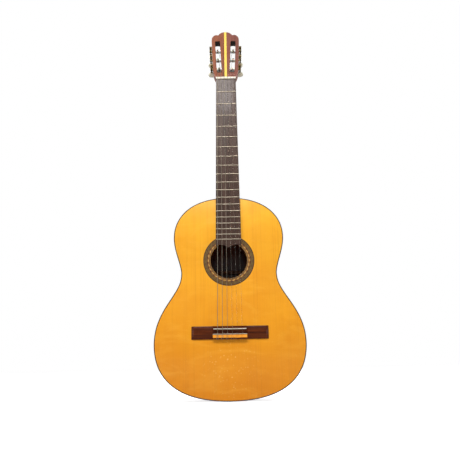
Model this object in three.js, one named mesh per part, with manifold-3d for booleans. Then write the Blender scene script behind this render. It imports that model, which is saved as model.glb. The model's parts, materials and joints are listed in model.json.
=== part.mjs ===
// A classical guitar: hollow body, 12-fret neck, slotted head and geared tuning machines.
// Millimetres. +X is the treble side, -Y the front, +Z up along the neck.
// The origin is on the centre line at the nut, in the plane of the soundboard's front face.
import * as THREE from 'three';
import { mergeVertices } from 'three/addons/utils/BufferGeometryUtils.js';
import Module from 'manifold-3d';

const wasm = await Module();
wasm.setup();

const GAP = 0.3;                    // clearance between neighbouring pieces
const SCALE_LENGTH = 650;
const FRETS = 19;

// Body outline: half widths and heights of the four stations, and the curve handles between them
const BODY_TOP = -324.6;
const UPPER_BOUT = { half: 136.0, z: -425.4, above: 49.9, below: 37.1 };
const WAIST = { half: 117.2, z: -519.1, above: 26.8, below: 48.2 };
const LOWER_BOUT = { half: 182.7, z: -685.2, above: 82.9, below: 80.0 };
const BODY_BOTTOM = -819.4;
const SHOULDER_HANDLE = 96.8;
const TAIL_HANDLE = 129.3;
const CURVE_STEPS = 8;

// The arched back is a shallow dish
const BACK_DEPTH = 103;             // deepest point of the back, from the soundboard's face
const BACK_RADIUS = 4500;
const BACK_CENTRE_Z = -608;
const DISH_REACH = 300;
const DEPTH_LIMIT = 130;

const TOP_THICK = 2.5;
const BACK_THICK = 2.6;
const RIB_THICK = 2.2;
const BINDING_HIGH = 4.5;
const LINING = { thick: 6, high: 14 };
const SEAT = RIB_THICK + GAP;       // inset of everything glued inside the ribs

const HOLE = { z: -485, radius: 45.3 };
const ROSETTE = { inner: 46.5, outer: 63, thick: 1.1 };

const NUT = { half: 26, thick: 5.5, height: 9.2 };
const BOARD = { thick: 6.5, taper: 0.01247, endZ: -449.5, tipZ: -454, scallopZ: -441 };
const FRET = { wide: 2.2, high: 1.0 };

const SHAFT = { nutDepth: 15.5, heelDepth: 17.5, steps: 6 };
const HEEL = { fromY: 8, half: 29.5, capHalf: 14, length: 70, capLength: 18, steps: 8, power: 2.6 };
const HEEL_CAP_THICK = 2.8;
const FOOT = { half: 35, length: 29 };
const WEB_HALF = 7.7;
const TAIL_BLOCK = { half: 30, thick: 14 };
const GRAFT = { half: 10, thick: 2.2 };

const HEAD_TILT = THREE.MathUtils.degToRad(18);
const HEAD_ROOT_Z = 4;
const HEAD_THICK = 17.5;
const VENEER_THICK = 1.8;
const STRIPE_HALF = 3.25;
const SIDE_LEAN = THREE.MathUtils.degToRad(2.26);
const SIDE_MID = { x: 35.5, s: 78 };  // a point on the head's straight side
const SLOT = { centre: -16.3, half: 6.8, from: 29, to: 143.5, corner: 4.2 };
const RAMP = { from: 14.5, to: 40, depth: 4.4 };

// Tuning machines
const TUNER_S = [43, 78, 113];
const ROLLER = { radius: 4.9, inner: -30, bore: 5.2 };
const PLATE = { thick: 1.3, half: 7.5, reach: 14, lower: 12 };
const WHEEL = { teeth: 14, tip: 7.4, root: 5.3, inner: 2.9, thick: 3.4 };
const POST_RADIUS = 2.5;
const WORM = { offset: 9.65, x: 4.6, lead: 2.985, core: 2.15, thread: 0.5, turns: 3.2, journal: 1.3 };
const THREAD_SIDES = 5;
const THREAD_STEPS = 8;             // in each turn
const LUG = { y: 7.2, thick: 1.6, half: 3.1, high: 4.6 };
const BUTTON = { from: 17.5, length: 17, half: 9.2, thick: 4.6 };
const BUTTON_TURNS = [80, 55, 12];  // how far each stands turned, in degrees, from the nut up

// Strings from the sixth (bass) to the first (treble)
const STRING_RADII = [0.55, 0.45, 0.38, 0.51, 0.41, 0.36];
const NUT_SPACING = 8.6;
const SADDLE_SPACING = 11.8;
const STRING_NUT_Y = -9.0;
const SADDLE_Z = -652;
const SADDLE = { half: 39.5, thick: 2.4, height: 10.9 };
const ROLLER_LINES = [19.6, 18.6, 19.8];  // where each string meets its roller, from the centre line

const BRIDGE = { half: 92.5, top: -645, bottom: -676, wing: 4.4, block: 8.1, blockHalf: 41 };
const TIE = { from: -663, to: -675.5, holeY: -5.2, holeRadius: 1.3, strip: 1.0 };

const FAN = { count: 5, wide: 6, high: 5, from: -560, length: 228, spread: 0.09, pitch: 34 };
const BARS = [{ name: 'upper_transverse_bar', z: -415 }, { name: 'lower_transverse_bar', z: -548 }];
const BAR = { thick: 8, high: 15 };
const BACK_BRACES = [-395, -503, -695];
const PAST = { side: 200, below: -900, above: -300 };  // beyond the body, for cutting its pieces

const WOOD = { top: '#e39a2c', dark: '#3a2018', rim: '#5a2c1c', cedar: '#8a4a30', pale: '#d9b98a' };

// ---- solids ----------------------------------------------------------------------------

function solid(geometry) {
  const bare = geometry.clone();
  bare.deleteAttribute('normal');
  bare.deleteAttribute('uv');
  const merged = mergeVertices(bare);
  const position = merged.attributes.position;
  const corner = [0, 1, 2].map(() => new THREE.Vector3());
  const faces = [];
  let volume = 0;
  for (let i = 0; i < merged.index.count; i += 3) {
    const face = [0, 1, 2].map((k) => merged.index.getX(i + k));
    if (new Set(face).size < 3) continue;
    face.forEach((vertex, k) => corner[k].fromBufferAttribute(position, vertex));
    volume += corner[0].dot(corner[1].clone().cross(corner[2]));
    faces.push(face);
  }
  if (volume < 0) faces.forEach((face) => face.reverse());
  const vertProperties = new Float32Array(position.array);
  return new wasm.Manifold(new wasm.Mesh({
    numProp: 3, vertProperties, triVerts: new Uint32Array(faces.flat()),
  }));
}

function toGeometry(manifold) {
  const mesh = manifold.getMesh();
  const geometry = new THREE.BufferGeometry();
  geometry.setAttribute('position', new THREE.BufferAttribute(mesh.vertProperties.slice(), 3));
  geometry.setIndex(new THREE.BufferAttribute(mesh.triVerts.slice(), 1));
  geometry.computeVertexNormals();
  return geometry;
}

function combine(operation, first, rest) {
  return toGeometry(rest.reduce((sum, next) => sum[operation](solid(next)), solid(first)));
}
const join = (first, ...rest) => combine('add', first, rest);
const cut = (first, ...rest) => combine('subtract', first, rest);
const common = (first, ...rest) => combine('intersect', first, rest);

// An outline of [u, v] points swept along an axis: u, v are y, z along x; x, z along y; x, y along z
function prism(outline, axis, from, to, steps = 1) {
  const shape = outline instanceof THREE.Shape
    ? outline
    : new THREE.Shape(outline.map(([u, v]) => new THREE.Vector2(u, v)));
  const geometry = new THREE.ExtrudeGeometry(shape, {
    depth: to - from, steps, bevelEnabled: false, curveSegments: 6,
  });
  geometry.translate(0, 0, from);
  const [x, y, z] = [[1, 0, 0], [0, 1, 0], [0, 0, 1]].map((v) => new THREE.Vector3(...v));
  const basis = new THREE.Matrix4();
  if (axis === 'x') basis.makeBasis(y, z, x);
  if (axis === 'y') basis.makeBasis(x, z, y);
  return geometry.applyMatrix4(basis);
}

function box(x0, x1, y0, y1, z0, z1) {
  const geometry = new THREE.BoxGeometry(x1 - x0, y1 - y0, z1 - z0);
  return geometry.translate((x0 + x1) / 2, (y0 + y1) / 2, (z0 + z1) / 2);
}

function rod(from, to, radius, sides = 10) {
  const axis = to.clone().sub(from);
  const geometry = new THREE.CylinderGeometry(radius, radius, axis.length(), sides);
  const turn = new THREE.Quaternion().setFromUnitVectors(
    new THREE.Vector3(0, 1, 0), axis.clone().normalize());
  geometry.applyQuaternion(turn);
  return geometry.translate(...from.clone().add(to).multiplyScalar(0.5).toArray());
}

const point = (x, y, z) => new THREE.Vector3(x, y, z);

function mirrored(geometry) {
  return geometry.clone().applyMatrix4(new THREE.Matrix4().makeScale(-1, 1, 1));
}

function reshape(geometry, rule) {
  const position = geometry.attributes.position;
  const place = new THREE.Vector3();
  for (let i = 0; i < position.count; i += 1) {
    place.fromBufferAttribute(position, i);
    rule(place);
    position.setXYZ(i, place.x, place.y, place.z);
  }
  return geometry;
}

// ---- the body's outline and its dished back ----------------------------------------------

function outlineCurves() {
  const v = (x, z) => new THREE.Vector2(x, z);
  const [u, w, l] = [UPPER_BOUT, WAIST, LOWER_BOUT];
  const curve = (...points) => new THREE.CubicBezierCurve(...points);
  return [
    curve(v(0, BODY_TOP), v(SHOULDER_HANDLE, BODY_TOP), v(u.half, u.z + u.above), v(u.half, u.z)),
    curve(v(u.half, u.z), v(u.half, u.z - u.below), v(w.half, w.z + w.above), v(w.half, w.z)),
    curve(v(w.half, w.z), v(w.half, w.z - w.below), v(l.half, l.z + l.above), v(l.half, l.z)),
    curve(v(l.half, l.z), v(l.half, l.z - l.below), v(TAIL_HANDLE, BODY_BOTTOM), v(0, BODY_BOTTOM)),
  ];
}

// The outline moved inwards by an inset, as a closed loop of [x, z] points
function bodyOutline(inset = 0) {
  const right = [];
  outlineCurves().forEach((curve, index) => {
    for (let i = index === 0 ? 0 : 1; i <= CURVE_STEPS; i += 1) {
      const spot = curve.getPoint(i / CURVE_STEPS);
      const along = curve.getTangent(i / CURVE_STEPS);
      right.push([spot.x + along.y * inset, spot.y - along.x * inset]);
    }
  });
  right[0][0] = 0;
  right[right.length - 1][0] = 0;
  const left = right.slice(1, -1).reverse().map(([x, z]) => [-x, z]);
  return right.concat(left);
}

const bodyPrism = (inset, y0, y1) => prism(bodyOutline(inset), 'y', y0, y1);
const rimRing = (outer, inner, y0, y1) => cut(bodyPrism(outer, y0, y1), bodyPrism(inner, y0 - 1, y1 + 1));

const backDepth = (r) => BACK_DEPTH - (r * r) / (2 * BACK_RADIUS);
const backDepthAt = (z) => backDepth(z - BACK_CENTRE_Z);

// The layer of the dish between two depths in front of the back's outer face
function dishLayer(deep, shallow) {
  const radii = [0, 100, 200, DISH_REACH];
  const front = radii.map((r) => new THREE.Vector2(r, backDepth(r) - deep));
  const rear = radii.map((r) => new THREE.Vector2(r, backDepth(r) - shallow)).reverse();
  return new THREE.LatheGeometry(front.concat(rear), 24).translate(0, 0, BACK_CENTRE_Z);
}

// Everything from a depth in front of the back's outer face rearwards
const behindDish = (deep) => dishLayer(deep, -DEPTH_LIMIT);

// ---- body pieces -------------------------------------------------------------------------

const disc = (radius, y0, y1, sides = 36) =>
  rod(point(0, y0, HOLE.z), point(0, y1, HOLE.z), radius, sides);

function soundboard() {
  const channel = cut(
    disc(ROSETTE.outer + GAP, -1, ROSETTE.thick + GAP),
    disc(ROSETTE.inner - GAP, -2, ROSETTE.thick + 1));
  return cut(bodyPrism(SEAT, 0, TOP_THICK), disc(HOLE.radius, -1, TOP_THICK + 1), channel);
}

const rosette = () =>
  cut(disc(ROSETTE.outer, 0, ROSETTE.thick), disc(ROSETTE.inner, -1, ROSETTE.thick + 1));

function rib(side) {
  const inner = [WEB_HALF + GAP, PAST.side].map((x) => side * x).sort((a, b) => a - b);
  const ring = rimRing(0, RIB_THICK, BINDING_HIGH + GAP, DEPTH_LIMIT);
  const half = common(ring, box(...inner, 0, DEPTH_LIMIT, PAST.below, PAST.above));
  const graftRoom = box(-GRAFT.half - GAP, GRAFT.half + GAP, -1, DEPTH_LIMIT, PAST.below, LOWER_BOUT.z);
  return cut(half, behindDish(BINDING_HIGH + GAP), graftRoom);
}

const topBinding = () => cut(rimRing(0, RIB_THICK, 0, BINDING_HIGH), graftPocket());
const backBinding = () =>
  cut(common(rimRing(0, RIB_THICK, 0, DEPTH_LIMIT), dishLayer(BINDING_HIGH, 0)), graftPocket());

// The tail strip's flat outer face stands a little inside the outline's lowest point
const graftPocket = () =>
  box(-GRAFT.half - GAP, GRAFT.half + GAP, BINDING_HIGH, backDepthAt(BODY_BOTTOM) - BINDING_HIGH,
    BODY_BOTTOM - 1, BODY_BOTTOM + GRAFT.thick);

const endGraft = () =>
  box(-GRAFT.half, GRAFT.half, BINDING_HIGH + GAP, backDepthAt(BODY_BOTTOM) - BINDING_HIGH - GAP,
    BODY_BOTTOM, BODY_BOTTOM + GRAFT.thick);

const backPlate = () => common(bodyPrism(SEAT, 60, DEPTH_LIMIT), dishLayer(BACK_THICK, 0));

const footRoom = () =>
  box(-FOOT.half - GAP, FOOT.half + GAP, 0, DEPTH_LIMIT, BODY_TOP - FOOT.length - SEAT - GAP, PAST.above);
const tailRoom = () =>
  box(-TAIL_BLOCK.half - GAP, TAIL_BLOCK.half + GAP, 0, DEPTH_LIMIT, PAST.below,
    BODY_BOTTOM + SEAT + TAIL_BLOCK.thick + GAP);
const sideHalf = (side) => {
  const [x0, x1] = [0, PAST.side].map((x) => side * x).sort((a, b) => a - b);
  return box(x0, x1, -1, DEPTH_LIMIT, PAST.below, PAST.above);
};

function topLining(side) {
  const front = TOP_THICK + GAP;
  const ring = rimRing(SEAT, SEAT + LINING.thick, front, front + LINING.high);
  return cut(common(ring, sideHalf(side)), footRoom(), tailRoom());
}

function backLining(side) {
  const ring = rimRing(SEAT, SEAT + LINING.thick, 0, DEPTH_LIMIT);
  const back = BACK_THICK + GAP;
  return cut(common(ring, dishLayer(back + LINING.high, back), sideHalf(side)), footRoom(), tailRoom());
}

function tailBlock() {
  const block = box(-TAIL_BLOCK.half, TAIL_BLOCK.half, TOP_THICK + GAP, DEPTH_LIMIT - 1,
    PAST.below, BODY_BOTTOM + SEAT + TAIL_BLOCK.thick);
  return cut(common(block, bodyPrism(SEAT, 0, DEPTH_LIMIT)), behindDish(BACK_THICK + GAP));
}

// A bar right across the inside, its ends scooped down to clear the linings
function crossBar(z, frontY, backY, scoopFront) {
  const inside = bodyPrism(SEAT + GAP, 0, DEPTH_LIMIT);
  const bar = common(box(-PAST.side, PAST.side, frontY, backY, z - BAR.thick / 2, z + BAR.thick / 2), inside);
  const lining = scoopFront
    ? rimRing(SEAT - 1, SEAT + LINING.thick + GAP, 0, TOP_THICK + LINING.high + 2 * GAP)
    : rimRing(SEAT - 1, SEAT + LINING.thick + GAP, 60, DEPTH_LIMIT);
  return cut(bar, lining);
}

const transverseBar = (z) => crossBar(z, TOP_THICK + GAP, TOP_THICK + GAP + BAR.high, true);

function backBrace(z) {
  const depth = backDepthAt(z) - BACK_THICK - GAP;
  return cut(crossBar(z, depth - BAR.high, depth + 10, false), behindDish(BACK_THICK + GAP));
}

function fanBrace(index) {
  const order = index - (FAN.count - 1) / 2;
  const front = TOP_THICK + GAP;
  const scoop = 24;
  const side = [[front, 0], [front + 1.5, 0], [front + FAN.high, -scoop],
    [front + FAN.high, scoop - FAN.length], [front + 1.5, -FAN.length], [front, -FAN.length]];
  const brace = prism(side, 'x', -FAN.wide / 2, FAN.wide / 2);
  brace.rotateY(-order * FAN.spread).translate(order * FAN.pitch, 0, FAN.from);
  return common(brace, bodyPrism(SEAT + LINING.thick + 2 * GAP, 0, 20));
}

// ---- neck and head -----------------------------------------------------------------------

// Half of a rounded D, with its flat side on the first axis
function dShape() {
  const points = [];
  for (let i = 0; i <= 10; i += 1) {
    const angle = (Math.PI * i) / 10;
    const across = Math.sign(Math.cos(angle)) * Math.abs(Math.cos(angle)) ** 0.8;
    points.push([across, Math.abs(Math.sin(angle)) ** 0.85]);
  }
  points[10][0] = -1;
  points[5][0] = 0;
  return points;
}

const boardHalf = (z) => NUT.half - z * BOARD.taper;

function shaft() {
  const length = HEAD_ROOT_Z - BODY_TOP + 4;
  return reshape(prism(dShape(), 'z', 0, 1, SHAFT.steps), (place) => {
    const z = HEAD_ROOT_Z - place.z * length;
    const depth = THREE.MathUtils.lerp(SHAFT.nutDepth, SHAFT.heelDepth, place.z);
    place.set(place.x * boardHalf(Math.min(z, 0)), place.y * depth, z);
  });
}

const heelBackY = () => backDepthAt(BODY_TOP) - HEEL_CAP_THICK - GAP;

// The heel's plan at each depth is a D that shrinks towards its cap
function heelPlan(part) {
  const half = THREE.MathUtils.lerp(HEEL.half, HEEL.capHalf, part);
  const length = HEEL.capLength + (HEEL.length - HEEL.capLength) * (1 - part) ** HEEL.power;
  return { half, length };
}

function heel(fromY, toY, steps, plan) {
  const base = BODY_TOP - 8;
  return reshape(prism(dShape(), 'y', 0, 1, steps), (place) => {
    const { half, length } = plan(place.y);
    place.set(place.x * half, THREE.MathUtils.lerp(fromY, toY, place.y), base + place.z * (length + 8));
  });
}

const outsideBody = () => bodyPrism(-GAP, -50, DEPTH_LIMIT);

function heelCap() {
  const end = backDepthAt(BODY_TOP);
  return cut(heel(end - HEEL_CAP_THICK, end, 1, () => heelPlan(1)), outsideBody());
}

// The head's outline: half of it, from the crest's middle down to the root
function headHalfShape(root) {
  const shape = new THREE.Shape();
  shape.moveTo(0, root);
  shape.lineTo(NUT.half, root);
  shape.lineTo(NUT.half, 1);
  shape.quadraticCurveTo(31, 12, 33.3, 25);
  shape.lineTo(37.9, 140);
  shape.quadraticCurveTo(38.3, 152, 36.6, 158);
  shape.quadraticCurveTo(30, 172.5, 19.5, 167.5);
  shape.quadraticCurveTo(14.5, 177.5, 6, 179.5);
  shape.lineTo(0, 181);
  return shape;
}

function headPrism(root, y0, y1) {
  const right = prism(headHalfShape(root), 'y', y0, y1);
  return join(right, mirrored(right), box(-1, 1, y0, y1, root, 170));
}

// Places a geometry made about a point of the head's right side, given along the head
const onSide = (geometry, s) => geometry.rotateY(SIDE_LEAN)
  .translate(SIDE_MID.x + (s - SIDE_MID.s) * Math.tan(SIDE_LEAN), HEAD_THICK / 2, s);

function slotShape() {
  const [x0, x1] = [SLOT.centre - SLOT.half, SLOT.centre + SLOT.half];
  const [z0, z1] = [SLOT.from - SIDE_MID.s, SLOT.to - SIDE_MID.s];
  const r = SLOT.corner;
  const shape = new THREE.Shape();
  shape.moveTo(x0 + r, z0);
  shape.lineTo(x1 - r, z0);
  shape.quadraticCurveTo(x1, z0, x1, z0 + r);
  shape.lineTo(x1, z1 - r);
  shape.quadraticCurveTo(x1, z1, x1 - r, z1);
  shape.lineTo(x0 + r, z1);
  shape.quadraticCurveTo(x0, z1, x0, z1 - r);
  shape.lineTo(x0, z0 + r);
  shape.quadraticCurveTo(x0, z0, x0 + r, z0);
  return shape;
}

// The slot and the ramp that leads the strings down into it, cut from the right side
function slotCutter() {
  const slot = onSide(prism(slotShape(), 'y', -20, 20), SIDE_MID.s);
  const face = -HEAD_THICK / 2 - VENEER_THICK - GAP;
  const [from, to] = [RAMP.from - SIDE_MID.s, RAMP.to - SIDE_MID.s];
  const profile = [[face, from], [face - 1, from], [face - 1, to], [RAMP.depth - HEAD_THICK / 2, to]];
  const half = SLOT.half - 0.5;
  const ramp = onSide(prism(profile, 'x', SLOT.centre - half, SLOT.centre + half), SIDE_MID.s);
  return join(slot, ramp);
}

const bothSides = (geometry) => join(geometry, mirrored(geometry));

function headCore() {
  const bores = TUNER_S.map((s) =>
    onSide(rod(point(ROLLER.inner - GAP, 0, 0), point(4, 0, 0), ROLLER.bore), s));
  const openings = [slotCutter(), ...bores].map(bothSides);
  return cut(headPrism(0, 0, HEAD_THICK), ...openings);
}

const tiltHead = (geometry) => geometry.rotateX(-HEAD_TILT).translate(0, 0, HEAD_ROOT_Z);

function neck() {
  const outer = cut(join(shaft(), heel(HEEL.fromY, heelBackY(), HEEL.steps, heelPlan)), outsideBody());
  const head = tiltHead(headCore());
  const webBack = backDepthAt(BODY_TOP) - BINDING_HIGH - GAP;
  const web = box(-WEB_HALF, WEB_HALF, BINDING_HIGH + GAP, webBack, BODY_TOP - 9, BODY_TOP + 4);
  const block = box(-FOOT.half, FOOT.half, TOP_THICK + GAP, DEPTH_LIMIT - 1,
    BODY_TOP - FOOT.length - SEAT, BODY_TOP);
  const foot = common(block, bodyPrism(SEAT, 0, DEPTH_LIMIT));
  return join(outer, head, web, cut(foot, behindDish(BACK_THICK + GAP)));
}

function veneerBlank() {
  const blank = headPrism(0, -VENEER_THICK - GAP, -GAP);
  const nutRoom = box(-60, 60, -60, 60, -60, NUT.thick + 2 * GAP);
  const untilted = nutRoom.translate(0, 0, -HEAD_ROOT_Z).rotateX(HEAD_TILT);
  return cut(blank, untilted);
}

function headVeneer(side) {
  const [x0, x1] = [STRIPE_HALF + GAP, 60].map((x) => side * x).sort((a, b) => a - b);
  const opening = side > 0 ? slotCutter() : mirrored(slotCutter());
  return cut(common(veneerBlank(), box(x0, x1, -9, 9, -9, 200)), opening);
}

const headStripe = () => common(veneerBlank(), box(-STRIPE_HALF, STRIPE_HALF, -9, 9, -9, 200));

function fingerboard() {
  const [endHalf, front] = [boardHalf(BOARD.endZ), -GAP - BOARD.thick];
  const shape = new THREE.Shape();
  shape.moveTo(-NUT.half, 0);
  shape.lineTo(NUT.half, 0);
  shape.lineTo(endHalf, BOARD.endZ);
  shape.quadraticCurveTo(endHalf / 2, BOARD.scallopZ, 2, BOARD.tipZ);
  shape.lineTo(-2, BOARD.tipZ);
  shape.quadraticCurveTo(-endHalf / 2, BOARD.scallopZ, -endHalf, BOARD.endZ);
  shape.closePath();
  const board = prism(shape, 'y', front, -GAP);
  const frets = [];
  for (let n = 1; n <= FRETS; n += 1) {
    const z = -SCALE_LENGTH * (1 - 2 ** (-n / 12));
    const half = boardHalf(z) - 0.3;
    const [w, top] = [FRET.wide / 2, front - FRET.high];
    const crown = [[front + 0.4, z - w], [front + 0.4, z + w], [front - 0.3, z + w],
      [top, z + w / 2], [top, z - w / 2], [front - 0.3, z - w]];
    frets.push(prism(crown, 'x', -half, half));
  }
  return join(board, ...frets);
}

// Each string's own run over the nut, a clearance wider all round
function stringSlots() {
  return STRING_RADII.flatMap((radius, i) => {
    const [, , saddleEnd, nutEnd, rollerEnd] = stringPath(i);
    return [stringRun(saddleEnd, nutEnd, radius + GAP), stringRun(nutEnd, rollerEnd, radius + GAP)];
  });
}

function nut() {
  const blank = box(-NUT.half, NUT.half, -NUT.height, -GAP, GAP, NUT.thick);
  return cut(blank, ...stringSlots());
}

// ---- bridge ------------------------------------------------------------------------------

function bridge() {
  const { top, bottom, wing, block, half, blockHalf } = BRIDGE;
  const wingSide = [[-GAP, top], [-3, top], [-wing, top - 4], [-wing, bottom + 5],
    [-3, bottom], [-GAP, bottom]];
  const blockSide = [[-GAP, top], [-block + 1, top], [-block, top - 1], [-block, -656.5],
    [-3.4, -657.5], [-3.4, TIE.from + 0.4], [-block, TIE.from], [-block, TIE.to],
    [-block + 1, bottom], [-GAP, bottom]];
  const saddleSlot = box(-SADDLE.half - GAP, SADDLE.half + GAP, -20, -3,
    SADDLE_Z - SADDLE.thick / 2 - GAP, SADDLE_Z + SADDLE.thick / 2 + GAP);
  const holes = STRING_RADII.map((radius, i) => {
    const x = stringX(i, SADDLE_SPACING);
    return rod(point(x, TIE.holeY, TIE.from + 4), point(x, TIE.holeY, bottom - 4), TIE.holeRadius, 8);
  });
  const bevel = (side) => {
    const points = [[side * half, -2.2], [side * (half - 9), -wing - 0.5],
      [side * (half + 1), -wing - 0.5]];
    return prism(points, 'z', bottom - 2, top + 2);
  };
  const body = join(prism(wingSide, 'x', -half, half), prism(blockSide, 'x', -blockHalf, blockHalf));
  return cut(body, saddleSlot, bevel(1), bevel(-1), ...holes);
}

function saddle() {
  const [half, w] = [SADDLE.half, SADDLE.thick / 2];
  const section = [[-3 - GAP, -w], [-SADDLE.height + 1.5, -w], [-SADDLE.height, -0.2],
    [-SADDLE.height, w - 0.7], [-SADDLE.height + 0.5, w], [-3 - GAP, w]];
  return prism(section, 'x', -half, half).translate(0, 0, SADDLE_Z);
}

const tieStrip = () => box(-BRIDGE.blockHalf, BRIDGE.blockHalf, -BRIDGE.block - GAP - TIE.strip,
  -BRIDGE.block - GAP, TIE.to + 1, TIE.from - 0.8);

// ---- strings -----------------------------------------------------------------------------

const stringX = (i, spacing) => (i - 2.5) * spacing;
const headPoint = (x, y, s) => point(x, y, s)
  .applyAxisAngle(point(1, 0, 0), -HEAD_TILT).add(point(0, 0, HEAD_ROOT_Z));

function stringPath(i) {
  const radius = STRING_RADII[i];
  const side = i < 3 ? -1 : 1;
  const machine = i < 3 ? i : 5 - i;
  const clear = ROLLER.radius + radius + GAP;
  const saddleX = stringX(i, SADDLE_SPACING);
  return [
    point(saddleX, TIE.holeY, BRIDGE.bottom - 1),
    point(saddleX, TIE.holeY, TIE.from + 1),
    point(saddleX, -SADDLE.height - radius - 1.5 * GAP, SADDLE_Z),
    point(stringX(i, NUT_SPACING), STRING_NUT_Y, NUT.thick - GAP),
    headPoint(side * ROLLER_LINES[machine], HEAD_THICK / 2 - clear, TUNER_S[machine]),
  ];
}

// A straight run, a little long at both ends so that its neighbours join it
function stringRun(from, to, radius) {
  const along = to.clone().sub(from).setLength(radius * 0.5);
  return rod(from.clone().sub(along), to.clone().add(along), radius, 6);
}

function string(i) {
  const path = stringPath(i);
  const runs = path.slice(1).map((end, k) => stringRun(path[k], end, STRING_RADII[i]));
  return join(...runs);
}

// ---- tuning machines, each about its roller's axis on the head's right side -----------------

function roller() {
  const barrel = rod(point(ROLLER.inner, 0, 0), point(-GAP, 0, 0), ROLLER.radius);
  const post = rod(point(-2, 0, 0), point(WHEEL.inner + 1, 0, 0), POST_RADIUS);
  const outline = [];
  for (let tooth = 0; tooth < WHEEL.teeth; tooth += 1) {
    const corners = [[-0.30, WHEEL.root], [-0.13, WHEEL.tip], [0.13, WHEEL.tip], [0.30, WHEEL.root]];
    corners.forEach(([part, radius]) => {
      const angle = ((tooth + 0.5 + part) * 2 * Math.PI) / WHEEL.teeth;
      outline.push([radius * Math.sin(angle), radius * Math.cos(angle)]);
    });
  }
  const wheel = prism(outline, 'x', WHEEL.inner, WHEEL.inner + WHEEL.thick);
  const end = WHEEL.inner + WHEEL.thick;
  const screw = rod(point(end - 0.5, 0, 0), point(end + 1.2, 0, 0), 2.9);
  return join(barrel, post, wheel, screw);
}

function worm() {
  const { x, offset, lead, core, thread, turns, journal } = WORM;
  class Helix extends THREE.Curve {
    getPoint(t, target = new THREE.Vector3()) {
      const angle = 2 * Math.PI * turns * (t - 0.5);
      return target.set(x + core * Math.sin(angle), lead * turns * (t - 0.5),
        offset - core * Math.cos(angle));
    }
  }
  const section = new THREE.Shape(Array.from({ length: THREAD_SIDES }, (_, i) => {
    const angle = (2 * Math.PI * i) / THREAD_SIDES;
    return new THREE.Vector2(thread * Math.cos(angle), thread * Math.sin(angle));
  }));
  const ridge = new THREE.ExtrudeGeometry(section, {
    steps: Math.round(turns * THREAD_STEPS), extrudePath: new Helix(),
  });
  const axis = (y) => point(x, y, offset);
  const body = rod(axis(-LUG.y + LUG.thick / 2 + GAP), axis(LUG.y - LUG.thick / 2 - GAP), core, 10);
  const shank = rod(axis(-LUG.y - LUG.thick / 2 - 0.4), axis(BUTTON.from - GAP), journal, 10);
  return join(body, shank, ridge);
}

function button(turn) {
  const { from, length, half, thick } = BUTTON;
  const profile = [[0, 0], [0.38, 0], [0.45, 0.1], [0.8, 0.3], [1, 0.6], [0.88, 0.88], [0.5, 1], [0, 1]];
  const knob = new THREE.LatheGeometry(
    profile.map(([r, along]) => new THREE.Vector2(r * half, from + along * length)), 12);
  knob.scale(thick / half, 1, 1).rotateY(THREE.MathUtils.degToRad(turn));
  return knob.translate(WORM.x, 0, WORM.offset);
}

// One plate carries three machines, with a lug at each end of every worm
function machinePlate() {
  const middle = TUNER_S[1];
  const reach = (TUNER_S[2] - middle) / Math.cos(SIDE_LEAN);
  const { thick, half } = PLATE;
  const [low, high] = [-reach - PLATE.lower, reach + PLATE.reach];
  const outline = [[-half + 3, low], [half - 3, low], [half, low + 3], [half, high - 3],
    [half - 3, high], [-half + 3, high], [-half, high - 3], [-half, low + 3]];
  let plate = prism(outline, 'x', GAP, GAP + thick);
  for (const z of [-reach, 0, reach]) {
    const worm = (y) => point(WORM.x, y, z + WORM.offset);
    for (const y of [-LUG.y, LUG.y]) {
      const [y0, y1] = [y - LUG.thick / 2, y + LUG.thick / 2];
      const lug = box(GAP, WORM.x + LUG.high / 2, y0, y1, z + WORM.offset - LUG.half,
        z + WORM.offset + LUG.half);
      plate = join(plate, lug);
    }
    plate = cut(plate, rod(point(-1, 0, z), point(4, 0, z), POST_RADIUS + GAP),
      rod(worm(-12), worm(12), WORM.journal + GAP, 10));
  }
  return plate;
}

// ---- assembly ----------------------------------------------------------------------------

const group = new THREE.Group();

function add(parent, name, geometry, color, roughness = 0.5, metalness = 0) {
  const material = new THREE.MeshStandardMaterial({ color, roughness, metalness });
  const mesh = new THREE.Mesh(toGeometry(solid(geometry)), material);
  mesh.name = name;
  parent.add(mesh);
  return mesh;
}

add(group, 'soundboard', soundboard(), WOOD.top, 0.25);
add(group, 'rosette', rosette(), '#7a4a1e', 0.3);
add(group, 'back', backPlate(), WOOD.rim, 0.25);
add(group, 'rib_bass', rib(-1), WOOD.rim, 0.25);
add(group, 'rib_treble', rib(1), WOOD.rim, 0.25);
add(group, 'top_binding', topBinding(), WOOD.dark, 0.3);
add(group, 'back_binding', backBinding(), WOOD.dark, 0.3);
add(group, 'end_graft', endGraft(), WOOD.dark, 0.3);
add(group, 'tail_block', tailBlock(), WOOD.cedar, 0.8);
add(group, 'top_lining_bass', topLining(-1), WOOD.pale, 0.8);
add(group, 'top_lining_treble', topLining(1), WOOD.pale, 0.8);
add(group, 'back_lining_bass', backLining(-1), WOOD.pale, 0.8);
add(group, 'back_lining_treble', backLining(1), WOOD.pale, 0.8);
BARS.forEach(({ name, z }) => add(group, name, transverseBar(z), WOOD.pale, 0.8));
for (let i = 0; i < FAN.count; i += 1) {
  add(group, `fan_brace_${i + 1}`, fanBrace(i), WOOD.pale, 0.8);
}
BACK_BRACES.forEach((z, i) => add(group, `back_brace_${i + 1}`, backBrace(z), WOOD.cedar, 0.8));

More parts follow.
